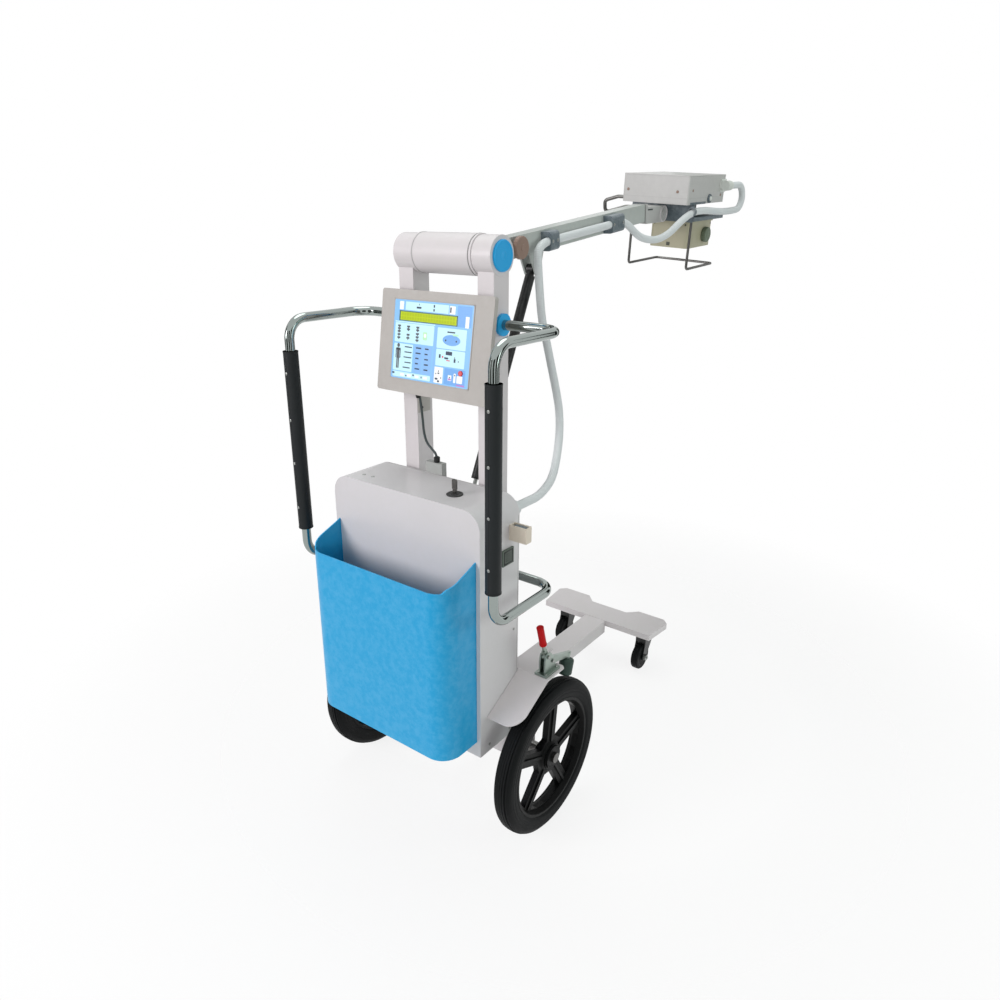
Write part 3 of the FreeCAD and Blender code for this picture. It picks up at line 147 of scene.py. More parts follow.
def noise(tree, scale, detail=2.0, rough=0.5):
    """A noise texture on the object's own coordinates."""
    place = tree.nodes.new("ShaderNodeTexCoord")
    node = tree.nodes.new("ShaderNodeTexNoise")
    node.inputs["Detail"].default_value = detail
    node.inputs["Roughness"].default_value = rough
    tree.links.new(place.outputs["Object"], node.inputs["Vector"])
    if isinstance(scale, (int, float)):
        node.inputs["Scale"].default_value = scale
    else:
        tree.links.new(scale, node.inputs["Scale"])
    return node.outputs["Fac"]


def math_node(tree, operation, *values):
    node = tree.nodes.new("ShaderNodeMath")
    node.operation = operation
    for socket, value in zip(node.inputs, values):
        if isinstance(value, (int, float)):
            socket.default_value = value
        else:
            tree.links.new(value, socket)
    return node.outputs[0]


def times(tree, first, second):
    return math_node(tree, "MULTIPLY", first, second)


def mix_colour(tree, factor, first, second):
    node = tree.nodes.new("ShaderNodeMix")
    node.data_type = "RGBA"
    pairs = ((node.inputs[0], factor), (node.inputs[6], first), (node.inputs[7], second))
    for socket, value in pairs:
        if isinstance(value, (int, float, tuple)):
            socket.default_value = value
        else:
            tree.links.new(value, socket)
    return node.outputs[2]


def ramp(tree, value, low, high):
    node = tree.nodes.new("ShaderNodeMapRange")
    node.inputs["From Min"].default_value = low
    node.inputs["From Max"].default_value = high
    tree.links.new(value, node.inputs["Value"])
    return node.outputs["Result"]


def tone_group():
    """Slow colour changes over a surface, as in paint or moulded plastic that has aged."""
    group, inside, outside = new_group(
        "tone", [("Colour", "Color", (0.8, 0.8, 0.8, 1)), ("Aged Colour", "Color", (0.7, 0.7, 0.7, 1)),
                 ("Scale", "Float", 6.0), ("Amount", "Float", 0.3)], [("Colour", "Color")])
    broad = noise(group, inside.outputs["Scale"], 4.0, 0.6)
    mask = times(group, ramp(group, broad, 0.35, 0.75), inside.outputs["Amount"])
    colour = mix_colour(group, mask, inside.outputs["Colour"], inside.outputs["Aged Colour"])
    group.links.new(colour, outside.inputs["Colour"])
    return group


def smudge_group():
    """Roughness that changes where hands and cloths have been."""
    group, inside, outside = new_group(
        "smudge", [("Roughness", "Float", 0.4), ("Spread", "Float", 0.1), ("Scale", "Float", 14.0)],
        [("Roughness", "Float")])
    patch = noise(group, inside.outputs["Scale"], 5.0, 0.65)
    centred = math_node(group, "SUBTRACT", patch, 0.5)
    shift = times(group, centred, inside.outputs["Spread"])
    total = math_node(group, "ADD", inside.outputs["Roughness"], times(group, shift, 2.0))
    group.links.new(math_node(group, "MAXIMUM", total, 0.03), outside.inputs["Roughness"])
    return group


def grain_group():
    """The fine texture of powder coat, moulded plastic or rubber, as a height."""
    group, inside, outside = new_group(
        "grain", [("Scale", "Float", 900.0), ("Depth", "Float", 0.5), ("Wave Scale", "Float", 30.0),
                  ("Wave Depth", "Float", 0.2)],
        [("Height", "Float")])
    fine = times(group, noise(group, inside.outputs["Scale"], 3.0, 0.6), inside.outputs["Depth"])
    slow = times(group, noise(group, inside.outputs["Wave Scale"], 2.0), inside.outputs["Wave Depth"])
    group.links.new(math_node(group, "ADD", fine, slow), outside.inputs["Height"])
    return group


def wear_group():
    """Rubbed edges: a mask where the surface turns outwards sharply."""
    group, inside, outside = new_group(
        "wear", [("Amount", "Float", 0.5), ("Scale", "Float", 60.0)], [("Mask", "Float")])
    geometry = group.nodes.new("ShaderNodeNewGeometry")
    edge = ramp(group, geometry.outputs["Pointiness"], 0.53, 0.62)
    broken = ramp(group, noise(group, inside.outputs["Scale"], 6.0, 0.7), 0.4, 0.65)
    mask = times(group, times(group, edge, broken), inside.outputs["Amount"])
    group.links.new(mask, outside.inputs["Mask"])
    return group


def dust_group():
    """Dust on faces that look up."""
    group, inside, outside = new_group(
        "dust", [("Amount", "Float", 0.3), ("Scale", "Float", 40.0)], [("Mask", "Float")])
    geometry = group.nodes.new("ShaderNodeNewGeometry")
    parts = group.nodes.new("ShaderNodeSeparateXYZ")
    group.links.new(geometry.outputs["Normal"], parts.inputs[0])
    upward = ramp(group, parts.outputs["Z"], 0.2, 1.0)
    speckle = ramp(group, noise(group, inside.outputs["Scale"], 8.0, 0.75), 0.42, 0.8)
    mask = times(group, times(group, upward, speckle), inside.outputs["Amount"])
    group.links.new(mask, outside.inputs["Mask"])
    return group


TONE, SMUDGE, GRAIN, WEAR, DUST = tone_group(), smudge_group(), grain_group(), wear_group(), dust_group()


def place_group(tree, group, **values):
    node = tree.nodes.new("ShaderNodeGroup")
    node.node_tree = group
    for label, value in values.items():
        node.inputs[label.replace("_", " ")].default_value = value
    return node


def surface(name, colour, aged, rough=0.45, metal=0.0, tone=0.35, tone_scale=6.0, spread=0.08,
            smudge_scale=14.0, grain=0.4, grain_scale=1400.0, wave=0.15, wave_scale=25.0, bump=0.00035,
            wear=0.0, worn="C9C9C6", dust=0.0, dusty="B9B5AC", coat=0.0, coat_rough=0.15, specular=0.5):
    """A procedural finish: base tone with age, worn edges, dust, uneven gloss and a fine grain."""
    material = bpy.data.materials.new(name)
    material.use_nodes = True
    tree = material.node_tree
    shader = tree.nodes["Principled BSDF"]
    shader.inputs["Metallic"].default_value = metal
    shader.inputs["Coat Weight"].default_value = coat
    shader.inputs["Coat Roughness"].default_value = coat_rough
    shader.inputs["Specular IOR Level"].default_value = specular
    base = place_group(tree, TONE, Colour=paint(colour), Aged_Colour=paint(aged), Scale=tone_scale,
                       Amount=tone)
    result = base.outputs["Colour"]
    if wear:
        rubbed = place_group(tree, WEAR, Amount=wear)
        result = mix_colour(tree, rubbed.outputs["Mask"], result, paint(worn))
    if dust:
        settled = place_group(tree, DUST, Amount=dust)
        result = mix_colour(tree, settled.outputs["Mask"], result, paint(dusty))
    tree.links.new(result, shader.inputs["Base Color"])
    gloss = place_group(tree, SMUDGE, Roughness=rough, Spread=spread, Scale=smudge_scale)
    tree.links.new(gloss.outputs["Roughness"], shader.inputs["Roughness"])
    height = place_group(tree, GRAIN, Scale=grain_scale, Depth=grain, Wave_Scale=wave_scale, Wave_Depth=wave)
    relief = tree.nodes.new("ShaderNodeBump")
    relief.inputs["Distance"].default_value = bump
    tree.links.new(height.outputs["Height"], relief.inputs["Height"])
    tree.links.new(relief.outputs["Normal"], shader.inputs["Normal"])
    return material


white_paint = surface("white_powder_coat", "D1CCCE", "C7C5C2", rough=0.42, wear=0.25, dust=0.12, coat=0.15)
cabinet_paint = surface("cabinet_lilac_coat", "D1CFD1", "C7C6C7", rough=0.38, wear=0.2, dust=0.1, coat=0.2,
                        tone_scale=3.5)
arm_paint = surface("arm_pale_coat", "B2B8B4", "A8AEAA", rough=0.4, wear=0.2, dust=0.12, coat=0.15)
head_paint = surface("head_grey_coat", "B9B9B7", "AFB0AD", rough=0.42, wear=0.3, dust=0.1, grain=0.6,
                     coat=0.1)
panel_shell = surface("panel_warm_grey", "AFABA6", "A5A29D", rough=0.5, grain=0.9, grain_scale=1800.0,
                      wear=0.15)
bin_blue = surface("bin_sky_blue", "119ACF", "0E92C7", rough=0.42, tone=0.2, tone_scale=2.0, wear=0.25,
                   worn="6DBCE2", coat=0.05, specular=0.35)
cap_blue = surface("cap_sky_blue", "16A4E2", "1299D6", rough=0.34, coat=0.1, grain=0.3, specular=0.35)
black_rubber = surface("tyre_rubber", "07090A", "0D1011", rough=0.58, tone=0.6, grain=0.9, grain_scale=700.0,
                       bump=0.0006, dust=0.1, dusty="20221E", specular=0.12)
grip_rubber = surface("grip_rubber", "0E1416", "151B1E", rough=0.5, tone=0.5, grain=0.8, grain_scale=1100.0,
                      specular=0.3)
rim_black = surface("rim_black_plastic", "040505", "090A0A", rough=0.4, grain=0.7, wear=0.3, worn="333535",
                    dust=0.05, dusty="191A18", specular=0.1)
black_metal = surface("black_enamel", "08090A", "0F1112", rough=0.32, wear=0.4, worn="5A5C5C", coat=0.1,
                      specular=0.35)
dark_bracket = surface("slate_bracket_coat", "56636B", "4A565D", rough=0.42, wear=0.4, worn="9AA2A4",
                       coat=0.1)
chrome = surface("chrome_tube", "9CA4A1", "8B9390", rough=0.09, metal=1.0, tone=0.5, spread=0.05,
                 smudge_scale=30.0, grain=0.05, wave=0.3, wave_scale=7.0, bump=0.0003)
steel = surface("zinc_steel", "A4A7A4", "8A8D8A", rough=0.32, metal=1.0, tone=0.6, tone_scale=25.0,
                spread=0.12, grain=0.3)
dark_steel = surface("dark_wire", "6D6C6A", "4F4E4C", rough=0.3, metal=1.0, tone=0.6, tone_scale=20.0,
                     spread=0.1, grain=0.2)
red_grip = surface("red_grip_sleeve", "B80008", "A00007", rough=0.45, grain=0.5, specular=0.15)
red_key = surface("red_button_cap", "D4202C", "C21824", rough=0.35, coat=0.3)
hose_skin = surface("hose_blue_grey", "D3D8D9", "C6CCCE", rough=0.46, tone_scale=14.0, grain=0.6, dust=0.12)
cable_skin = surface("cable_slate", "3C4546", "333B3C", rough=0.5)
cream_cover = surface("collimator_cream", "B0AC92", "A5A187", rough=0.46, grain=0.8, wear=0.2)
connector_shell = surface("connector_pale", "D9DDD8", "CDD2CC", rough=0.42, grain=0.5)
dark_knob = surface("knob_olive", "4A4E43", "3E4238", rough=0.5, grain=0.7, wear=0.3, worn="84877C")
brown_knob = surface("knob_brown", "8C7467", "7B6457", rough=0.48, grain=0.6, wear=0.3, worn="A6968B")
grey_part = surface("moulded_grey", "A3A6A3", "979A97", rough=0.5, grain=0.7)
module_metal = surface("module_alloy", "A9ABAC", "9C9E9F", rough=0.4, metal=0.9)
# Painted shade: a dark colour for thin sheets laid in gaps and slots where only shade falls
painted_gap_shade = surface("joint_shadow", "3A3F3E", "303433", rough=0.7)
seam_soft = surface("joint_soft_shadow", "ACACAB", "A2A2A1", rough=0.7)
pad_green = surface("pad_green_black", "17332A", "112820", rough=0.55, grain=0.8)
dial_green = surface("dial_grey_green", "66725F", "58634F", rough=0.5, grain=0.7, wear=0.2, worn="8F988A")
socket_green = surface("socket_grey_green", "5A665D", "4E5A51", rough=0.5, grain=0.6)
holder_cream = surface("holder_warm_cream", "DDD2C2", "D2C7B6", rough=0.45, grain=0.6)
zinc = surface("passivated_zinc", "9CA8A1", "868F86", rough=0.34, metal=1.0, tone=0.7, tone_scale=30.0,
               spread=0.12, grain=0.3)


# Mesh helpers


def smooth_by_angle(mesh, degrees=35):
    for polygon in mesh.polygons:
        polygon.use_smooth = True
    mesh.set_sharp_from_angle(angle=math.radians(degrees))


def mesh_from(bm, name):
    """A mesh from a bmesh, which is freed."""
    mesh = bpy.data.meshes.new(name)
    bm.to_mesh(mesh)
    bm.free()
    return mesh


def add_piece(name, mesh, material, body, smooth=35):
    """Puts a mesh in the scene as a piece of the machine."""
    item = bpy.data.objects.new(name, mesh)
    SCENE.collection.objects.link(item)
    mesh.materials.append(material)
    smooth_by_angle(mesh, smooth)
    if body:
        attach(item, body)
    return item


def piece_from(bm, name, material, body, matrix=None, smooth=35):
    """A piece from a bmesh in millimetres, placed by a frame."""
    bmesh.ops.recalc_face_normals(bm, faces=bm.faces)
    bm.transform((matrix or CHASSIS) @ Matrix.Scale(MM, 4))
    return add_piece(name, mesh_from(bm, name), material, body, smooth)


def spin(bm, profile, centre=(0, 0, 0), axis="X", steps=48):
    """A turned shape; its profile of (along the axis, radius) closes on itself or on the axis."""
    rows = []
    order = {"X": (0, 1, 2), "Y": (1, 2, 0), "Z": (2, 0, 1)}[axis]
    for along, radius in profile:
        row = []
        for step in range(steps if radius > 1e-6 else 1):
            angle = 2 * math.pi * step / steps
            spot = [0.0, 0.0, 0.0]
            spot[order[0]] = centre[order[0]] + along
            spot[order[1]] = centre[order[1]] + radius * math.cos(angle)
            spot[order[2]] = centre[order[2]] + radius * math.sin(angle)
            row.append(bm.verts.new(spot))
        rows.append(row)
    closed = profile[0][1] > 1e-6 and profile[-1][1] > 1e-6
    pairs = list(zip(rows, rows[1:])) + ([(rows[-1], rows[0])] if closed else [])
    for first, second in pairs:
        for step in range(steps):
            follow = (step + 1) % steps
            corners = [first[step % len(first)], first[follow % len(first)],
                       second[follow % len(second)], second[step % len(second)]]
            unique = [vert for index, vert in enumerate(corners) if vert not in corners[:index]]
            if len(unique) > 2:
                bm.faces.new(unique)


def slab(bm, points, low, high, plane="XY", bevel=0.0, segments=2):
    """A plate from an outline; plane says which two axes the outline uses."""
    spots = {"XY": lambda a, b, c: (a, b, c), "XZ": lambda a, b, c: (a, c, b),
             "YZ": lambda a, b, c: (c, a, b)}[plane]
    lower = [bm.verts.new(spots(a, b, low)) for a, b in points]
    upper = [bm.verts.new(spots(a, b, high)) for a, b in points]
    faces = [bm.faces.new(lower), bm.faces.new(upper)]
    count = len(points)
    for index in range(count):
        follow = (index + 1) % count
        faces.append(bm.faces.new((lower[index], lower[follow], upper[follow], upper[index])))
    if bevel:
        rims = [edge for face in faces[:2] for edge in face.edges]
        bmesh.ops.bevel(bm, geom=rims, offset=bevel, segments=segments, profile=0.5, affect="EDGES")


def block(bm, low, high, bevel=0.0, segments=2):
    """A box between two corners with rounded edges."""
    result = bmesh.ops.create_cube(bm, size=1.0)
    centre = [(a + b) / 2 for a, b in zip(low, high)]
    sizes = [b - a for a, b in zip(low, high)]
    for vert in result["verts"]:
        vert.co = Vector([c + v * s for c, v, s in zip(centre, vert.co, sizes)])
    if bevel:
        edges = {edge for vert in result["verts"] for edge in vert.link_edges}
        bmesh.ops.bevel(bm, geom=list(edges), offset=bevel, segments=segments, profile=0.5, affect="EDGES")


def rounded_rect(x0, x1, y0, y1, radius, steps=5):
    """An outline with round corners, anticlockwise."""
    points = []
    corners = ((x1 - radius, y0 + radius, -90), (x1 - radius, y1 - radius, 0),
               (x0 + radius, y1 - radius, 90), (x0 + radius, y0 + radius, 180))
    for cx, cy, start in corners:
        for step in range(steps + 1):
            angle = math.radians(start + 90 * step / steps)
            points.append((cx + radius * math.cos(angle), cy + radius * math.sin(angle)))
    return points


def ellipse(cx, cy, rx, ry, steps=32):
    """An elliptic outline, anticlockwise."""
    return [(cx + rx * math.cos(2 * math.pi * step / steps), cy + ry * math.sin(2 * math.pi * step / steps))
            for step in range(steps)]


def sweep(bm, points, radius_at, sides=20, cap=True):
    """A round bar along points, its radius given at each point."""
    spots = [Vector(point) for point in points]
    side = None
    rings = []
    for index, spot in enumerate(spots):
        before = spots[max(index - 1, 0)]
        after = spots[min(index + 1, len(spots) - 1)]
        ahead = (after - before).normalized()
        if side is None:
            side = ahead.orthogonal().normalized()
        side = (side - ahead * side.dot(ahead)).normalized()
        other = ahead.cross(side)
        radius = radius_at(index)
        rings.append([bm.verts.new(spot + (side * math.cos(2 * math.pi * step / sides)
                                           + other * math.sin(2 * math.pi * step / sides)) * radius)
                      for step in range(sides)])
    for first, second in zip(rings, rings[1:]):
        for step in range(sides):
            follow = (step + 1) % sides
            bm.faces.new((first[step], first[follow], second[follow], second[step]))
    if cap:
        bm.faces.new(rings[0])
        bm.faces.new(rings[-1])


def nurbs_line(name, points, resolution=24):
    """The smooth line of a route: a NURBS spline over its points."""
    curve = bpy.data.curves.new(name, "CURVE")
    curve.dimensions = "3D"
    spline = curve.splines.new("NURBS")
    spline.points.add(len(points) - 1)
    for point, spot in zip(spline.points, points):
        point.co = (*spot, 1)
    spline.order_u = 3
    spline.use_endpoint_u = True
    spline.resolution_u = resolution
    item = bpy.data.objects.new(name, curve)
    mesh = bpy.data.meshes.new_from_object(item)
    line = [vert.co.copy() for vert in mesh.vertices]
    bpy.data.objects.remove(item)
    bpy.data.curves.remove(curve)
    bpy.data.meshes.remove(mesh)
    return line


def even(line, step):
    """The same line with points at even distances."""
    result = [line[0].copy()]
    left = step
    for before, after in zip(line, line[1:]):
        run = (after - before).length
        place = 0.0
        while run - place > left:
            place += left
            result.append(before.lerp(after, place / run))
            left = step
        left -= run - place
    if (result[-1] - line[-1]).length > step * 0.3:
        result.append(line[-1].copy())
    else:
        result[-1] = line[-1].copy()
    return result


# Hose and cable, the routes as in the solid model

HOSE_RADIUS = 10.5 * MM
RING_STEP = 0.9 * MM
RING_COUNT = 5
HOSE_Z = -19.6


def chassis_route(points):
    """Points given in the chassis's millimetres, in metres."""
    return [local(CHASSIS, *point) for point in points]


loop_points = [local(ARM, 38, 330, HOSE_Z), local(ARM, 38, 273, HOSE_Z)] + chassis_route([
    (50, 268, 1335), (54, 271, 1278), (60, 273, 1222), (75, 276, 1165), (87, 281, 1108), (99, 287, 1050),
    (111, 288, 995), (126, 268, 940), (146, 226, 893), (168, 176, 862), (184, 122, 850), (195, 68, 846),
    (200, 20, 850), (200, -26.7, 850)])
end_points = [local(ARM, 38, 680, HOSE_Z), local(ARM, 38, 714, HOSE_Z)] + chassis_route([
    (56, 764, 1411), (68, 812, 1400), (77, 858, 1401), (88, 906, 1418), (101, 950, 1452), (118, 992, 1478),
    (129, 1048, 1483), (133, 1104, 1481), (134, 1158, 1480), (134, 1212, 1481), (134, 1270, 1484),
    (134, 1324, 1490), (134, 1347, 1527), (133, 1325, 1564)]) + [local(HEAD, 128, 314, 50),
                                                                 local(HEAD, 128, 270, 50)]
arm_points = [local(ARM, 38, 330, HOSE_Z), local(ARM, 38, 680, HOSE_Z)]
cable_points = chassis_route([
    (-64, -50, 1094), (-65, -42, 1060), (-66, -36, 1020), (-66, -33, 982), (-59, -32, 957), (-43, -32, 944),
    (-27, -32, 932), (-27, -32, 914)])


def ribbed_hose(name, line, node, body):
    """A spiral-ribbed hose: narrow raised rings over a slightly thinner tube."""
    spots = even(line, RING_STEP)
    shape = [0.0, 0.55, 1.0, 0.55, 0.0]
    bm = bmesh.new()
    sweep(bm, spots, lambda index: HOSE_RADIUS - 0.55 * MM + 0.55 * MM * shape[index % RING_COUNT], 18)
    bmesh.ops.recalc_face_normals(bm, faces=bm.faces)
    item = add_piece(name, mesh_from(bm, name), hose_skin, body, 80)
    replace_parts(item, node)
    return item


loop_line = nurbs_line("loop_route", loop_points)
end_line = nurbs_line("end_route", end_points)
hanging_hose = ribbed_hose("hanging_hose", loop_line, "hose_loop", None)
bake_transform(hanging_hose)
head_hose = ribbed_hose("head_hose", end_line, "hose_head", None)
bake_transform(head_hose)
ribbed_hose("arm_hose", even([Vector(spot) for spot in arm_points], 5 * MM), "hose_arm", "arm")

cable_line = nurbs_line("cable_route", cable_points)
cable_bm = bmesh.new()
sweep(cable_bm, cable_line, lambda index: 3 * MM, 14)
bmesh.ops.recalc_face_normals(cable_bm, faces=cable_bm.faces)
cable = add_piece("panel_lead", mesh_from(cable_bm, "cable"), cable_skin, "chassis", 80)
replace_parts(cable, "panel_cable")

# Finishes of the pieces that keep their solid shape

NODE_FINISH = {
    white_paint: "axle_beam front_beam caster_plate upright_frame fender_left fender_right brake_bases",
    arm_paint: "arm_tube",
    cabinet_paint: "cabinet_shell cabinet_cover",
    connector_shell: "hose_connector",
    holder_cream: "switch_holder",
    bin_blue: "cassette_bin",
    cap_blue: "end_caps rail_collars",
    panel_shell: "panel_housing",
    red_key: "red_button",
    chrome: "rail_left rail_right",
    steel: "pivot_shaft strut_rod",
    zinc: "brake_arm_left brake_arm_right key_switch",
    dark_steel: "rear_axle key head_handle guard_loop",
    black_metal: "strut_cylinder caster_fork_left caster_fork_right",
    dark_bracket: "head_plate hose_clips",
    head_paint: "head_swivel head_housing head_cover",
    cream_cover: "collimator_body",
    dial_green: "collimator_knob",
    brown_knob: "lock_knob",
    grey_part: "cabinet_glands",
    black_rubber: "tyre_left tyre_right caster_wheel_left caster_wheel_right",
    rim_black: "rim_left rim_right",
    grip_rubber: "grips",
    pad_green: "brake_pad_left brake_pad_right",
    red_grip: "brake_lever_left brake_lever_right",
    module_metal: "power_module",
}
SOFT_EDGE = {
    0.4: "key",
    0.6: "brake_arm_left brake_arm_right",
    0.8: "fender_left fender_right brake_bases hose_clips caster_fork_left caster_fork_right",
    1.0: "cabinet_cover switch_holder cassette_bin head_plate",
    1.2: "caster_plate head_cover cabinet_glands hose_connector",
    1.5: "axle_beam panel_housing head_swivel",
    2.0: "upright_frame arm_tube cabinet_shell head_housing rim_left rim_right",
    2.5: "front_beam",
    3.0: "collimator_body",
}


def dress(name, material, edge):
    """Gives a node its finish and softens its edges."""
    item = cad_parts[name]
    item.data.materials.clear()
    item.data.materials.append(material)
    if edge:
        bevel = item.modifiers.new("soft_edges", "BEVEL")
        bevel.width = edge * MM
        bevel.segments = 3
        bevel.limit_method = "ANGLE"
        bevel.angle_limit = math.radians(40)
        bevel.harden_normals = False


edge_of = {name: edge for edge, names in SOFT_EDGE.items() for name in names.split()}
for finish, names in NODE_FINISH.items():
    for node_name in names.split():
        dress(node_name, finish, edge_of.get(node_name, 0))

# Faces of a solid piece that carry another finish


def dress_faces(name, material, test):
    """Gives the faces whose middle (in metres) passes the test another finish."""
    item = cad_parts[name]
    mesh = item.data
    mesh.materials.append(material)
    index = len(mesh.materials) - 1
    for polygon in mesh.polygons:
        if test(item.matrix_world @ polygon.center):
            polygon.material_index = index


def from_axis(spot, side):
    """Distance of a point from the lever's own line, in millimetres."""
    foot = local(CHASSIS, side * LEVER_SIDE, *LEVER_FOOT)
    top = local(CHASSIS, side * LEVER_SIDE, *LEVER_TOP)
    run = (top - foot).normalized()
    reach = (spot - foot).dot(run)
    return ((spot - foot) - run * reach).length / MM, reach / MM


for side, label in SIDES:
    dress_faces("brake_lever_" + label, zinc, lambda spot, side=side: from_axis(spot, side)[1] < 36)
    dress_faces("caster_fork_" + label, steel, lambda spot, side=side: abs(abs(spot.x) - 0.153) > 0.0192
                and spot.z < 0.058)
dress_faces("arm_tube", white_paint, lambda spot: abs(spot.x) > 0.0215 and spot.y < 0)
dress_faces("key_switch", black_metal, lambda spot: spot.z > 0.8871)
dress_faces("brake_bases", zinc, lambda spot: True)
dress_faces("cabinet_glands", socket_green, lambda spot: spot.x > 0.2226)
dress_faces("cabinet_glands", hose_skin, lambda spot: spot.x < 0.222 and spot.x > 0.1)


# Printed film of the control panel: plain fields, bars and marks without words

FILM_LEFT, FILM_TOP, FILM_FACE = -119, 92.4, 1.0


def field(u0, u1, v0, v1, radius=1.0):
    """A rounded field on the film, counted from its upper left corner."""
    return rounded_rect(FILM_LEFT + u0, FILM_LEFT + u1, FILM_TOP - v1, FILM_TOP - v0, radius, 3)


def print_on_film(name, material, shapes, lift, start=FILM_FACE):
    """Prints shapes, each an outline or the numbers of a field, raised by a hair from the film."""
    bm = bmesh.new()
    for shape in shapes:
        outline = shape if isinstance(shape, list) else field(*shape)
        slab(bm, outline, start - 0.05, start + lift)
    piece_from(bm, name, material, "chassis", PANEL)


def ink(name, code, rough=0.35):
    """An even printed colour."""
    return surface(name, code, code, rough=rough, tone=0.0, grain=0.15, wave=0.05, coat=0.1, specular=0.3)


ink_pale = ink("ink_pale_cyan", "C6F0FC")
ink_deep = ink("ink_deep_sky", "6EA9E8")
ink_column = ink("ink_column_blue", "86B9EE")
ink_white = ink("ink_white", "F4F8F6")
ink_navy = ink("ink_navy", "24364F")
ink_slate = ink("ink_slate", "50565E")
ink_green = ink("ink_pale_green", "B9EBC0")
ink_pink = ink("ink_magenta", "B77CC8")
ink_red = ink("ink_red", "D8404A")

print_on_film("film_pale_fields", ink_pale, [
    (33, 159, 4, 22), (5, 122, 51, 94, 2), (5, 63, 97, 158, 2), (5, 120, 160, 172, 2),
    (132, 214, 52, 96, 2), (132, 214, 98, 134, 2), (4, 124, 47.5, 50, 0.8),
], 0.05)
print_on_film("film_columns", ink_column, [(68, 92, 97, 158, 2), (95, 119, 97, 158, 2)], 0.05)
print_on_film("film_deep_fields", ink_deep, [
    (160, 219, 137, 172, 2), (184, 224, 3, 47, 2), ellipse(FILM_LEFT + 173, FILM_TOP - 77, 25, 11.5),
], 0.07)
print_on_film("film_dividers", ink_column, [(125, 129.5, 50, 172, 0.5), (132, 214, 96.4, 97.4, 0.3)], 0.08)
white_marks = [
    (15, 27, 4, 22), (162, 178, 5, 22), (208, 218, 24, 48), (131, 156, 137, 172, 1.5),
    (187, 193, 146, 166), (171, 181, 151, 163), (196, 212, 150, 166, 2),
]
white_marks += [(u, u + 12, 163, 169) for u in (29, 50, 74, 99)]
print_on_film("film_white_fields", ink_white, white_marks, 0.1)
navy_marks = [(72.5, 74, 6, 10, 0.4), (66, 80, 13, 17, 0.6), (115.5, 119.5, 6, 12, 0.6),
              (115.5, 119.5, 14.5, 20, 0.6), (163, 167, 8, 19, 0.6)]
navy_marks += [(160, 182, 58.5, 61.5, 0.6), (160, 178, 101, 109, 0.8), (141, 146, 109, 117, 0.8),
               (157, 168, 114, 118, 0.8), (184, 189, 115, 123, 0.8), (141, 146, 149, 152, 0.8),
               (134, 142, 161, 165, 0.8), (141, 147, 166, 170, 0.8)]
navy_marks += [(4, 11, 162, 166, 0.8), (45, 49, 166, 169, 0.8), (67, 71, 162, 166, 0.8),
               (92, 95, 164, 168, 0.8)]
for column, widths in ((72, (16, 15, 10, 9, 14)), (99, (11, 9, 11, 12, 12))):
    for row, width in enumerate(widths):
        navy_marks.append((column, column + width, 101 + row * 11.5, 104 + row * 11.5, 0.6))
for row, (start, width) in enumerate(((38, 22), (38, 22), (36, 24), (40, 19), (35, 22))):
    navy_marks.append((start, start + width, 102 + row * 11.5, 104.4 + row * 11.5, 0.6))
print_on_film("film_navy_marks", ink_navy, navy_marks, 0.13)
figure = [ellipse(FILM_LEFT + 18.5, FILM_TOP - 101.5, 4.2, 4.6, 20), (11.5, 25.5, 107, 112, 2),
          (14.5, 22.5, 107, 130, 1.5), (11, 13.6, 109, 130, 1.2), (23.4, 26, 109, 130, 1.2),
          (14.5, 18, 128, 153, 1.2), (19, 22.5, 128, 153, 1.2)]
print_on_film("film_figure", ink_slate, figure, 0.12)
icon_marks = []
for column, rows in ((13, (56, 62, 68, 75, 82)), (41, (56, 62, 74, 81)), (69, (56, 62, 70, 77, 84))):
    for row in rows:
        icon_marks.append((column, column + 9, row, row + 4, 0.8))
        icon_marks.append((column + 3, column + 6, row + 3, row + 6, 0.6))
print_on_film("film_icons", ink_slate, icon_marks, 0.12)
print_on_film("film_soft_icons", ink_green, [(90, 103, 66, 84, 2.5), (176, 192, 63, 67, 1)], 0.11)
print_on_film("film_icon_hearts", ink_white, [(93, 100, 70, 78, 2)], 0.13)
print_on_film("film_ellipse_dots", ink_navy, [ellipse(FILM_LEFT + 157, FILM_TOP - 78, 2, 2, 16),
                                              ellipse(FILM_LEFT + 187, FILM_TOP - 78, 2, 2, 16)], 0.14)
print_on_film("film_pink_marks", ink_pink, [(196, 219, 168.5, 172, 0.8), (172, 180, 158, 162, 0.8)], 0.15)
print_on_film("film_red_marks", ink_red, [(163, 173, 119.5, 121.5, 0.5), (150, 154, 112, 116, 1)], 0.14)
key_dots = ((143, 146), (151, 160), (136, 152), (176, 156), (190, 150), (186, 113), (197, 120))
print_on_film("film_key_dots", ink_slate,
              [ellipse(FILM_LEFT + u, FILM_TOP - v, 1.6, 1.6, 14) for u, v in key_dots], 0.14)

lcd_face = surface("lcd_yellow_green", "BDD204", "B0C602", rough=0.4, tone=0.25, tone_scale=12.0, grain=0.1,
                   specular=0.2)
lcd_cell = surface("lcd_cell_tint", "AFC204", "A6B903", rough=0.4, tone=0.1, grain=0.1, specular=0.2)
lcd_frame = ink("lcd_frame_green", "4E6E5F")
dress("display", lcd_face, 0)
print_on_film("lcd_border", lcd_frame, [
    (15.5, 186.5, 24, 26.4, 0.5), (15.5, 186.5, 44.6, 46.6, 0.5),
    (15.5, 18.6, 25, 46, 0.5), (183.4, 186.5, 25, 46, 0.5),
], 0.35)
cells = [(22 + 7.9 * column, 28.4 + 7.9 * column, 28.4 + 8 * row, 34.8 + 8 * row, 0.3)
         for column in range(20) for row in range(2)]
print_on_film("lcd_cells", lcd_cell, cells, 0.05, 0.8)
dress("membrane", ink("film_base_blue", "84C0F4"), 0)
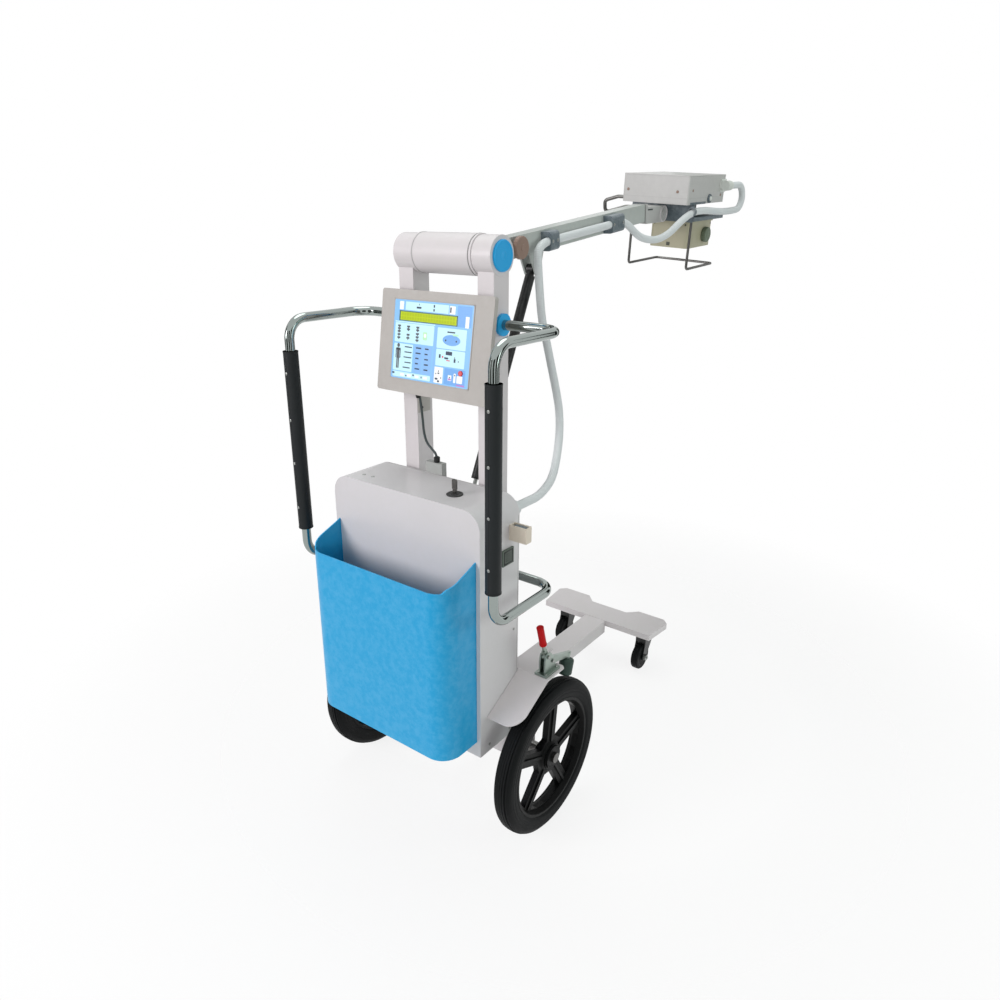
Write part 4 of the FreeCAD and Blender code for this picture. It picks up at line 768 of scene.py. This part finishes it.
dress("collimator_window", surface(
    "window_acrylic", "8E9792", "838C88", rough=0.08, tone=0.1, grain=0.0, wave=0.05, coat=0.6), 0)

# Raised rim round the film, and the bracket, knob and plugs of the lead beside the panel

bm = bmesh.new()
for x0, x1, y0, y1 in ((-121.5, 111.5, 92.4, 94.4), (-121.5, 111.5, -84.6, -82.6),
                       (-121.5, -119, -84.6, 94.4), (109, 111.5, -84.6, 94.4)):
    block(bm, (x0, y0, -0.2), (x1, y1, 1.3), 0.4)
piece_from(bm, "film_rim", panel_shell, "chassis", PANEL)
bm = bmesh.new()
block(bm, (-92.9, -22, 1022), (-90.2, 20, 1100), 1.0)
block(bm, (-92.9, -17, 1078), (-80, -2, 1096), 2.5)
piece_from(bm, "lead_bracket", panel_shell, "chassis")
bm = bmesh.new()
spin(bm, [(-4, 0), (-4, 4), (-2, 5), (6, 5), (8, 4), (8, 0)], (-92, 30, 1056), "X", 24)
block(bm, (-96, 22, 1052), (-88, 29, 1078), 1.0)
spin(bm, [(0, 0), (0, 3), (2, 3), (2, 0)], (-90.5, -10, 1034), "X", 16)
spin(bm, [(0, 0), (0, 3), (2, 3), (2, 0)], (-90.5, 10, 1086), "X", 16)
piece_from(bm, "lead_bracket_knob", black_metal, "chassis")
bm = bmesh.new()
spin(bm, [(-26, 0), (-26, 5.4), (-20, 6.6), (2, 6.6), (4, 5.6), (4, 0)], (-64, -50, 1094), "Z", 24)
spin(bm, [(0, 0), (0, 6.6), (3, 7.5), (12, 7.5), (14, 5), (14, 0)], (-27, -32, 914), "Z", 24)
piece_from(bm, "lead_plugs", black_metal, "chassis")

# Screws, and the seams of the grips


def screw_head(bm, centre, axis, radius, height, outward=1):
    """A domed screw head."""
    dome = [(0, 0), (0, radius), (outward * height * 0.5, radius), (outward * height * 0.9, radius * 0.7),
            (outward * height, 0)]
    spin(bm, dome, centre, axis, 20)


bm = bmesh.new()
for side in (1, -1):
    for height in (1126, 1017, 912, 800):
        screw_head(bm, (side * 290.5, -242.6, height), "Y", 3.4, 1.6, -1)
piece_from(bm, "grip_screws", steel, "chassis")
bm = bmesh.new()
for side in (1, -1):
    block(bm, (side * GRIP_SIDE - 1.2, -243.4, 750), (side * GRIP_SIDE + 1.2, -242.4, 1170), 0.4)
    for height in (744, 1176):
        low = -3 if height > 1000 else 0
        ring = [(low, 11.2), (low, 17.5), (low + 3, 17.5), (low + 3, 11.2)]
        spin(bm, ring, (side * GRIP_SIDE, -226, height), "Z", 36)
piece_from(bm, "grip_seams", grip_rubber, "chassis")

# Tyres with shoulder ribs and fine tread, standing in for the plain ones


def tyre_profile():
    """Half of a tyre's section from the rim outward, its tread ribs, and the other half."""
    points = [(-20, 155.2), (-21.5, 157), (-23.2, 159.5), (-24.3, 164), (-24.9, 170), (-24.4, 171),
              (-24.9, 172), (-25, 178), (-24.4, 179), (-24.8, 180), (-24.2, 185), (-22, 190), (-19.5, 193.5)]
    for position in (-15, -9, -3, 3, 9, 15):
        crown = 200 - 0.012 * position * position - (abs(position) > 14) * 1.2
        points += [(position - 2.6, crown - 0.1), (position - 2.2, crown), (position + 2.2, crown),
                   (position + 2.6, crown - 0.1), (position + 2.9, crown - 1.6),
                   (position + 3.1, crown - 1.6)]
    return points + [(-along, radius) for along, radius in reversed(points[:13])]


for side, label in SIDES:
    bm = bmesh.new()
    hub = (side * HUB_SIDE, 0, HUB_HEIGHT)
    spin(bm, tyre_profile(), hub, "X", 120)
    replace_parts(piece_from(bm, "ribbed_tyre_" + label, black_rubber, "wheel_" + label, smooth=30),
                "tyre_" + label)
    bm = bmesh.new()
    for step in range(5):
        turn = math.radians(12 + 72 * step)
        along = Vector((0, math.cos(turn), math.sin(turn)))
        across = Vector((0, -math.sin(turn), math.cos(turn)))
        for face in (-1, 1):
            middle = Vector((side * HUB_SIDE + face * 8, 0, HUB_HEIGHT))
            ends = [middle + along * 40 + across * 3.5, middle + along * 141 + across * 3.5,
                    middle + along * 141 - across * 3.5, middle + along * 40 - across * 3.5]
            lower = [bm.verts.new(spot) for spot in ends]
            upper = [bm.verts.new(spot + Vector((face * 3.5, 0, 0))) for spot in ends]
            bm.faces.new(upper)
            for index in range(4):
                bm.faces.new((lower[index], lower[(index + 1) % 4], upper[(index + 1) % 4], upper[index]))
    core = [(-21, 29), (-17, 30), (-17, 33), (17, 33), (17, 30), (21, 29), (21, 24), (-21, 24)]
    spin(bm, core, hub, "X", 60)
    spin(bm, [(18.5, 146.5), (20.6, 147.5), (20.8, 154), (18.5, 154.8)], hub, "X", 96)
    spin(bm, [(-18.5, 154.8), (-20.8, 154), (-20.6, 147.5), (-18.5, 146.5)], hub, "X", 96)
    piece_from(bm, "rim_ribs_" + label, rim_black, "wheel_" + label)
    bm = bmesh.new()
    caster = Vector((side * CASTER_SIDE, *CASTER_AXLE))
    core = [(-12.7, 0), (-12.7, 16), (-12.2, 17), (-12.2, 29), (-12.7, 30), (-12.7, 33), (-11.5, 33.5),
            (11.5, 33.5), (12.7, 33), (12.7, 30), (12.2, 29), (12.2, 17), (12.7, 16), (12.7, 0)]
    spin(bm, core, caster, "X", 48)
    piece_from(bm, "caster_core_" + label, rim_black, "roller_" + label)
    bm = bmesh.new()
    slab(bm, ellipse(*CASTER_AXLE, 10.4, 10.4, 6), caster.x + 18.5, caster.x + 27.2, "YZ", 0.8)
    spin(bm, [(27.2, 0), (27.2, 4), (30, 3.6), (30.5, 0)], caster, "X", 20)
    piece_from(bm, "caster_nut_" + label, steel, "fork_" + label)

# Crossbar: seams and lips beside the sleeve, and the caps' rims

bm = bmesh.new()
for side in (1, -1):
    spin(bm, [(-0.9, 36), (-0.9, 44.5), (0.9, 44.5), (0.9, 36)], (side * 78.6, *CROSSBAR), "X", 72)
piece_from(bm, "crossbar_seams", seam_soft, "chassis")
bm = bmesh.new()
for side in (1, -1):
    spin(bm, [(-3, 36), (-3, 43.6), (-2.2, 44.2), (2.2, 44.2), (3, 43.6), (3, 36)], (side * 83.5, *CROSSBAR),
         "X", 72)
piece_from(bm, "crossbar_lips", white_paint, "chassis")
bm = bmesh.new()
for side in (1, -1):
    spin(bm, [(side * 4.4, 27), (side * 5.6, 27.6), (side * 5.6, 31), (side * 4.4, 32)],
         (side * 137, *CROSSBAR), "X", 72)
    spin(bm, [(side * 5, 0), (side * 5.4, 8), (side * 5, 9)], (side * 137, *CROSSBAR), "X", 36)
piece_from(bm, "cap_rims", cap_blue, "chassis")

# Cabinet: seams at the shell's rear edge, screws, lock ring, socket frame and lining of the holder

bm = bmesh.new()
for side in (1, -1):
    block(bm, (side * 222.3 - 0.3, -45.0, 280), (side * 222.3 + 0.3, -43.4, 842), 0.1)
block(bm, (-177, -45.0, 886.8), (177, -43.4, 887.3), 0.1)
piece_from(bm, "cover_seams", seam_soft, "chassis")
bm = bmesh.new()
for x, y in ((-155, -149.4), (-128, -147.3)):
    screw_head(bm, (x, y, 887), "Z", 4.2, 1.4)
for side in (1, -1):
    for height in (330, 560):
        screw_head(bm, (side * 222.4, -58, height), "X", 3.4, 1.2, side)
    for y in (-150, -70):
        screw_head(bm, (side * 222.4, y, 292), "X", 4, 1.2, side)
piece_from(bm, "cabinet_screws", steel, "chassis")
bm = bmesh.new()
spin(bm, [(0, 14), (0, 19), (1.6, 19), (2.6, 17.5), (2.6, 14)], LOCK_PLACE, "Z", 48)
spin(bm, [(2.5, 5.4), (2.5, 11), (3.6, 10.2), (3.6, 5.4)], LOCK_PLACE, "Z", 48)
piece_from(bm, "lock_ring", black_metal, "chassis")
bm = bmesh.new()
for y0, y1, z0, z1 in ((-104, -72, 741, 744), (-104, -72, 770, 773), (-104, -101, 741, 773),
                       (-75, -72, 741, 773)):
    block(bm, (227.2, y0, z0), (228.4, y1, z1), 0.3)
for row in range(4):
    block(bm, (227.2, -98, 748 + row * 5.4), (228, -78, 750.2 + row * 5.4), 0.3)
piece_from(bm, "socket_frame", black_metal, "chassis")
bm = bmesh.new()
block(bm, (230, -76.6, 812), (262, -61.4, 828.5), 2)
piece_from(bm, "holder_lining", dark_bracket, "chassis")
bm = bmesh.new()
for side in (1, -1):
    for height in (360, 600):
        screw_head(bm, (side * 201, -187.3, height), "Y", 3.6, 1.4, -1)
piece_from(bm, "bin_screws", steel, "chassis")

# Wheel brakes: rivets and bolts of the clamps, and rings at the ends of the red sleeves

for side, label in SIDES:
    bm = bmesh.new()
    for y, z in ((5, 470), LEVER_FOOT):
        for face in (1, -1):
            screw_head(bm, (side * LEVER_SIDE + face * 11, y, z), "X", 5, 2, face)
    for x in (-11, 11):
        for y in (-28, 19):
            screw_head(bm, (side * LEVER_SIDE + x, y, 448), "Z", 3.4, 1.8)
    piece_from(bm, "clamp_rivets_" + label, steel, "chassis")
    bm = bmesh.new()
    foot = Vector((side * LEVER_SIDE, *LEVER_FOOT))
    run = (Vector((side * LEVER_SIDE, *LEVER_TOP)) - foot).normalized()
    for reach, size in ((40, 9.2), (91, 8.8)):
        ring = foot + run * reach
        sweep(bm, [ring - run * 1.2, ring + run * 1.2], lambda index, size=size: size, 28)
    piece_from(bm, "sleeve_rings_" + label, red_grip, "brake_lever_" + label)

# Arm and head details

# Painted shade: a thin dark sheet at the arm's end, standing in for the shade in the gap between arm and
# swivel
bm = bmesh.new()
block(bm, (-20.7, 871.3, -43.3), (20.7, 872.35, 8.1), 0.2)
piece_from(bm, "arm_end_gap_shade", painted_gap_shade, "arm", ARM)
bm = bmesh.new()
spin(bm, [(0, 0), (0, 8), (1.6, 7), (1.6, 0)], (43, *KNOB_AXIS), "X", 32)
for step in range(20):
    turn = math.radians(18 * step)
    y, z = KNOB_AXIS[0] + 25.6 * math.cos(turn), KNOB_AXIS[1] + 25.6 * math.sin(turn)
    block(bm, (31.5, y - 1.3, z - 1.3), (41.5, y + 1.3, z + 1.3), 0.6)
piece_from(bm, "knob_ridges", brown_knob, "lock_knob", ARM)
bm = bmesh.new()
for y0, y1 in ((318, 356), (625, 691)):
    for y in (y0 + 8, y1 - 8):
        screw_head(bm, (50, y, -19.6), "X", 4, 1.6)
piece_from(bm, "clip_screws", steel, "arm", ARM)
bm = bmesh.new()
for x in (-92, 74):
    screw_head(bm, (x, 0, 36), "Y", 4.4, 1.5, -1)
screw_head(bm, (110, 30, 40), "X", 4, 1.5)
screw_head(bm, (110, 244, 22), "X", 4, 1.5)
piece_from(bm, "housing_screws", brown_knob, "head", HEAD)
bm = bmesh.new()
spin(bm, [(0, 8), (0, 13), (4.4, 13), (5.4, 11.5), (5.4, 8)], SIDE_HINGE, "X", 40)
block(bm, (109.6, 20, -0.4), (111.2, 132, 6.5), 0.5)
piece_from(bm, "side_hinge_ring", dark_bracket, "head", HEAD)
bm = bmesh.new()
spin(bm, [(0, 0), (0, 7.4), (7, 7.0), (8.4, 5), (8.4, 0)], SIDE_HINGE, "X", 32)
piece_from(bm, "side_bolt", connector_shell, "head", HEAD)
bm = bmesh.new()
for z in (78.7, 18):
    depth = 0.35 if z > 50 else 0.2
    block(bm, (-106, -depth, z - 0.4), (106, 0.3, z + 0.3), 0.1)
    block(bm, (109.7, 5, z - 0.4), (110 + depth, 268, z + 0.3), 0.1)
piece_from(bm, "housing_seams", seam_soft, "head", HEAD)
# Painted shade: a thin dark sheet on the swivel's side, standing in for the shade inside a slot
bm = bmesh.new()
block(bm, (23.8, -88, -16), (24.4, -52, -12), 0.2)
piece_from(bm, "swivel_slot_shade", painted_gap_shade, "swivel", HEAD)
bm = bmesh.new()
spin(bm, [(-0.2, 20), (1.6, 20.4), (2.2, 21), (2.2, 23.4), (1.6, 24.2), (-0.2, 24.2)], (24, 24, -30), "X", 48)
piece_from(bm, "swivel_cheek_plate", white_paint, "swivel", HEAD)
bm = bmesh.new()
spin(bm, [(-6, 10.6), (-6, 12.4), (6, 12.4), (6, 10.6)], (117, 990, 1477.4), "Y", 32)
block(bm, (112.5, 984.5, 1488), (121.5, 995.5, 1493), 1)
piece_from(bm, "hose_tie", dark_bracket, "swivel")
bm = bmesh.new()
block(bm, (-6, 129.2, -134), (6, 130.3, -123), 0.4)
for y in (146, 294):
    screw_head(bm, (68, y, -70), "X", 3, 1.2)
for x in (-54, 54):
    screw_head(bm, (x, 130, -68), "Y", 3, 1.2, -1)
piece_from(bm, "collimator_marks", dark_knob, "collimator", HEAD)
bm = bmesh.new()
block(bm, (-0.5, 163, -140.25), (0.5, 277, -139.8), 0.05)
block(bm, (-57, 219.5, -140.25), (57, 220.5, -139.8), 0.05)
piece_from(bm, "aiming_cross", ink_navy, "collimator", HEAD)
bm = bmesh.new()
for step in range(24):
    turn = math.radians(15 * step)
    y, z = DIAL_AXIS[0] + 22.4 * math.cos(turn), DIAL_AXIS[1] + 22.4 * math.sin(turn)
    block(bm, (70.5, y - 1.2, z - 1.2), (82, y + 1.2, z + 1.2), 0.5)
spin(bm, [(84.3, 0), (84.3, 12), (85.4, 11), (85.6, 0)], (0, *DIAL_AXIS), "X", 36)
piece_from(bm, "dial_ridges", dial_green, "collimator_knob", HEAD)
bm = bmesh.new()
for along in (232, 239, 246, 253, 260):
    spin(bm, [(-1.2, 13), (-1.2, 14.9), (1.2, 14.9), (1.2, 13)], (128, along, 50), "Y", 36)
piece_from(bm, "connector_rings", connector_shell, "head", HEAD)

# Studio: pale floor, white surround, soft lamps


def add_studio():
    bm = bmesh.new()
    slab(bm, ellipse(0, 0, 3000, 3000, 64), -20, -0.5)
    bm.transform(Matrix.Scale(MM, 4))
    mesh = mesh_from(bm, "studio_floor")
    item = bpy.data.objects.new("studio_floor", mesh)
    SCENE.collection.objects.link(item)
    material = bpy.data.materials.new("studio_floor")
    material.use_nodes = True
    tree = material.node_tree
    link = tree.links.new
    shader = tree.nodes["Principled BSDF"]
    shader.inputs["Base Color"].default_value = (0.86, 0.86, 0.86, 1)
    shader.inputs["Roughness"].default_value = 0.9
    light = tree.nodes.new("ShaderNodeEmission")
    path = tree.nodes.new("ShaderNodeLightPath")
    seen = math_node(tree, "MAXIMUM", path.outputs["Is Camera Ray"], path.outputs["Is Glossy Ray"])
    share = times(tree, seen, 0.84)
    mixer = tree.nodes.new("ShaderNodeMixShader")
    link(share, mixer.inputs[0])
    link(shader.outputs[0], mixer.inputs[1])
    link(light.outputs[0], mixer.inputs[2])
    place = tree.nodes.new("ShaderNodeTexCoord")
    span = tree.nodes.new("ShaderNodeVectorMath")
    span.operation = "LENGTH"
    link(place.outputs["Object"], span.inputs[0])
    fade = ramp(tree, span.outputs["Value"], 0.75, 1.75)
    clear = tree.nodes.new("ShaderNodeBsdfTransparent")
    blend = tree.nodes.new("ShaderNodeMixShader")
    link(fade, blend.inputs[0])
    link(mixer.outputs[0], blend.inputs[1])
    link(clear.outputs[0], blend.inputs[2])
    link(blend.outputs[0], tree.nodes["Material Output"].inputs["Surface"])
    mesh.materials.append(material)
    world = bpy.data.worlds.new("studio_world")
    world.use_nodes = True
    tree = world.node_tree
    ground = tree.nodes["Background"]
    path = tree.nodes.new("ShaderNodeLightPath")
    seen = math_node(tree, "MAXIMUM", path.outputs["Is Camera Ray"], path.outputs["Is Transmission Ray"])
    seen = math_node(tree, "MAXIMUM", seen, path.outputs["Is Glossy Ray"])
    strength = math_node(tree, "ADD", times(tree, seen, 0.55), 0.45)
    tree.links.new(strength, ground.inputs["Strength"])
    ground.inputs["Color"].default_value = (1, 1, 1, 1)
    SCENE.world = world


def add_lamp(name, place, target, size, power, colour):
    data = bpy.data.lights.new(name, "AREA")
    data.shape = "DISK"
    data.size = size
    data.energy = power
    data.color = colour
    lamp = bpy.data.objects.new(name, data)
    lamp.location = place
    lamp.rotation_euler = (Vector(target) - Vector(place)).to_track_quat("-Z", "Y").to_euler()
    SCENE.collection.objects.link(lamp)


def add_cards():
    """Dark cards round the machine that only reflections show, so that bright metal has dark streaks."""
    material = bpy.data.materials.new("studio_card")
    material.use_nodes = True
    shader = material.node_tree.nodes["Principled BSDF"]
    shader.inputs["Base Color"].default_value = (0.012, 0.02, 0.016, 1)
    shader.inputs["Roughness"].default_value = 1.0
    shader.inputs["Specular IOR Level"].default_value = 0.0
    card_count, card_share, distance, low, high = 9, 0.62, 2700, 150, 2300
    bm = bmesh.new()
    for index in range(card_count):
        start = math.tau * (index + 0.12) / card_count
        for step in range(6):
            ends = [start + math.tau * card_share * (step + side) / (6 * card_count) for side in (0, 1)]
            corners = [(ends[0], low), (ends[1], low), (ends[1], high), (ends[0], high)]
            bm.faces.new([bm.verts.new((distance * math.cos(turn), distance * math.sin(turn), z)) for turn,
                          z in corners])
    bm.transform(Matrix.Scale(MM, 4))
    mesh = mesh_from(bm, "studio_cards")
    mesh.materials.append(material)
    item = bpy.data.objects.new("studio_cards", mesh)
    SCENE.collection.objects.link(item)
    item.visible_camera = False
    item.visible_diffuse = False
    item.visible_transmission = False
    item.visible_shadow = False


add_studio()
add_cards()
add_lamp("overhead", (-0.6, 0.2, 4.2), (0, 0, 0.8), 2.6, 48, (0.95, 1.0, 0.98))
add_lamp("behind_left", (-1.6, -3.9, 2.0), (0, -0.4, 0.9), 2.0, 84, (1.0, 0.955, 0.985))
add_lamp("behind_right", (1.9, -3.4, 1.5), (0.2, -0.5, 0.6), 1.4, 24, (0.97, 1.0, 0.98))
add_lamp("far_right", (3.6, 0.9, 1.6), (0, 0, 0.7), 1.8, 30, (0.88, 1.0, 0.95))
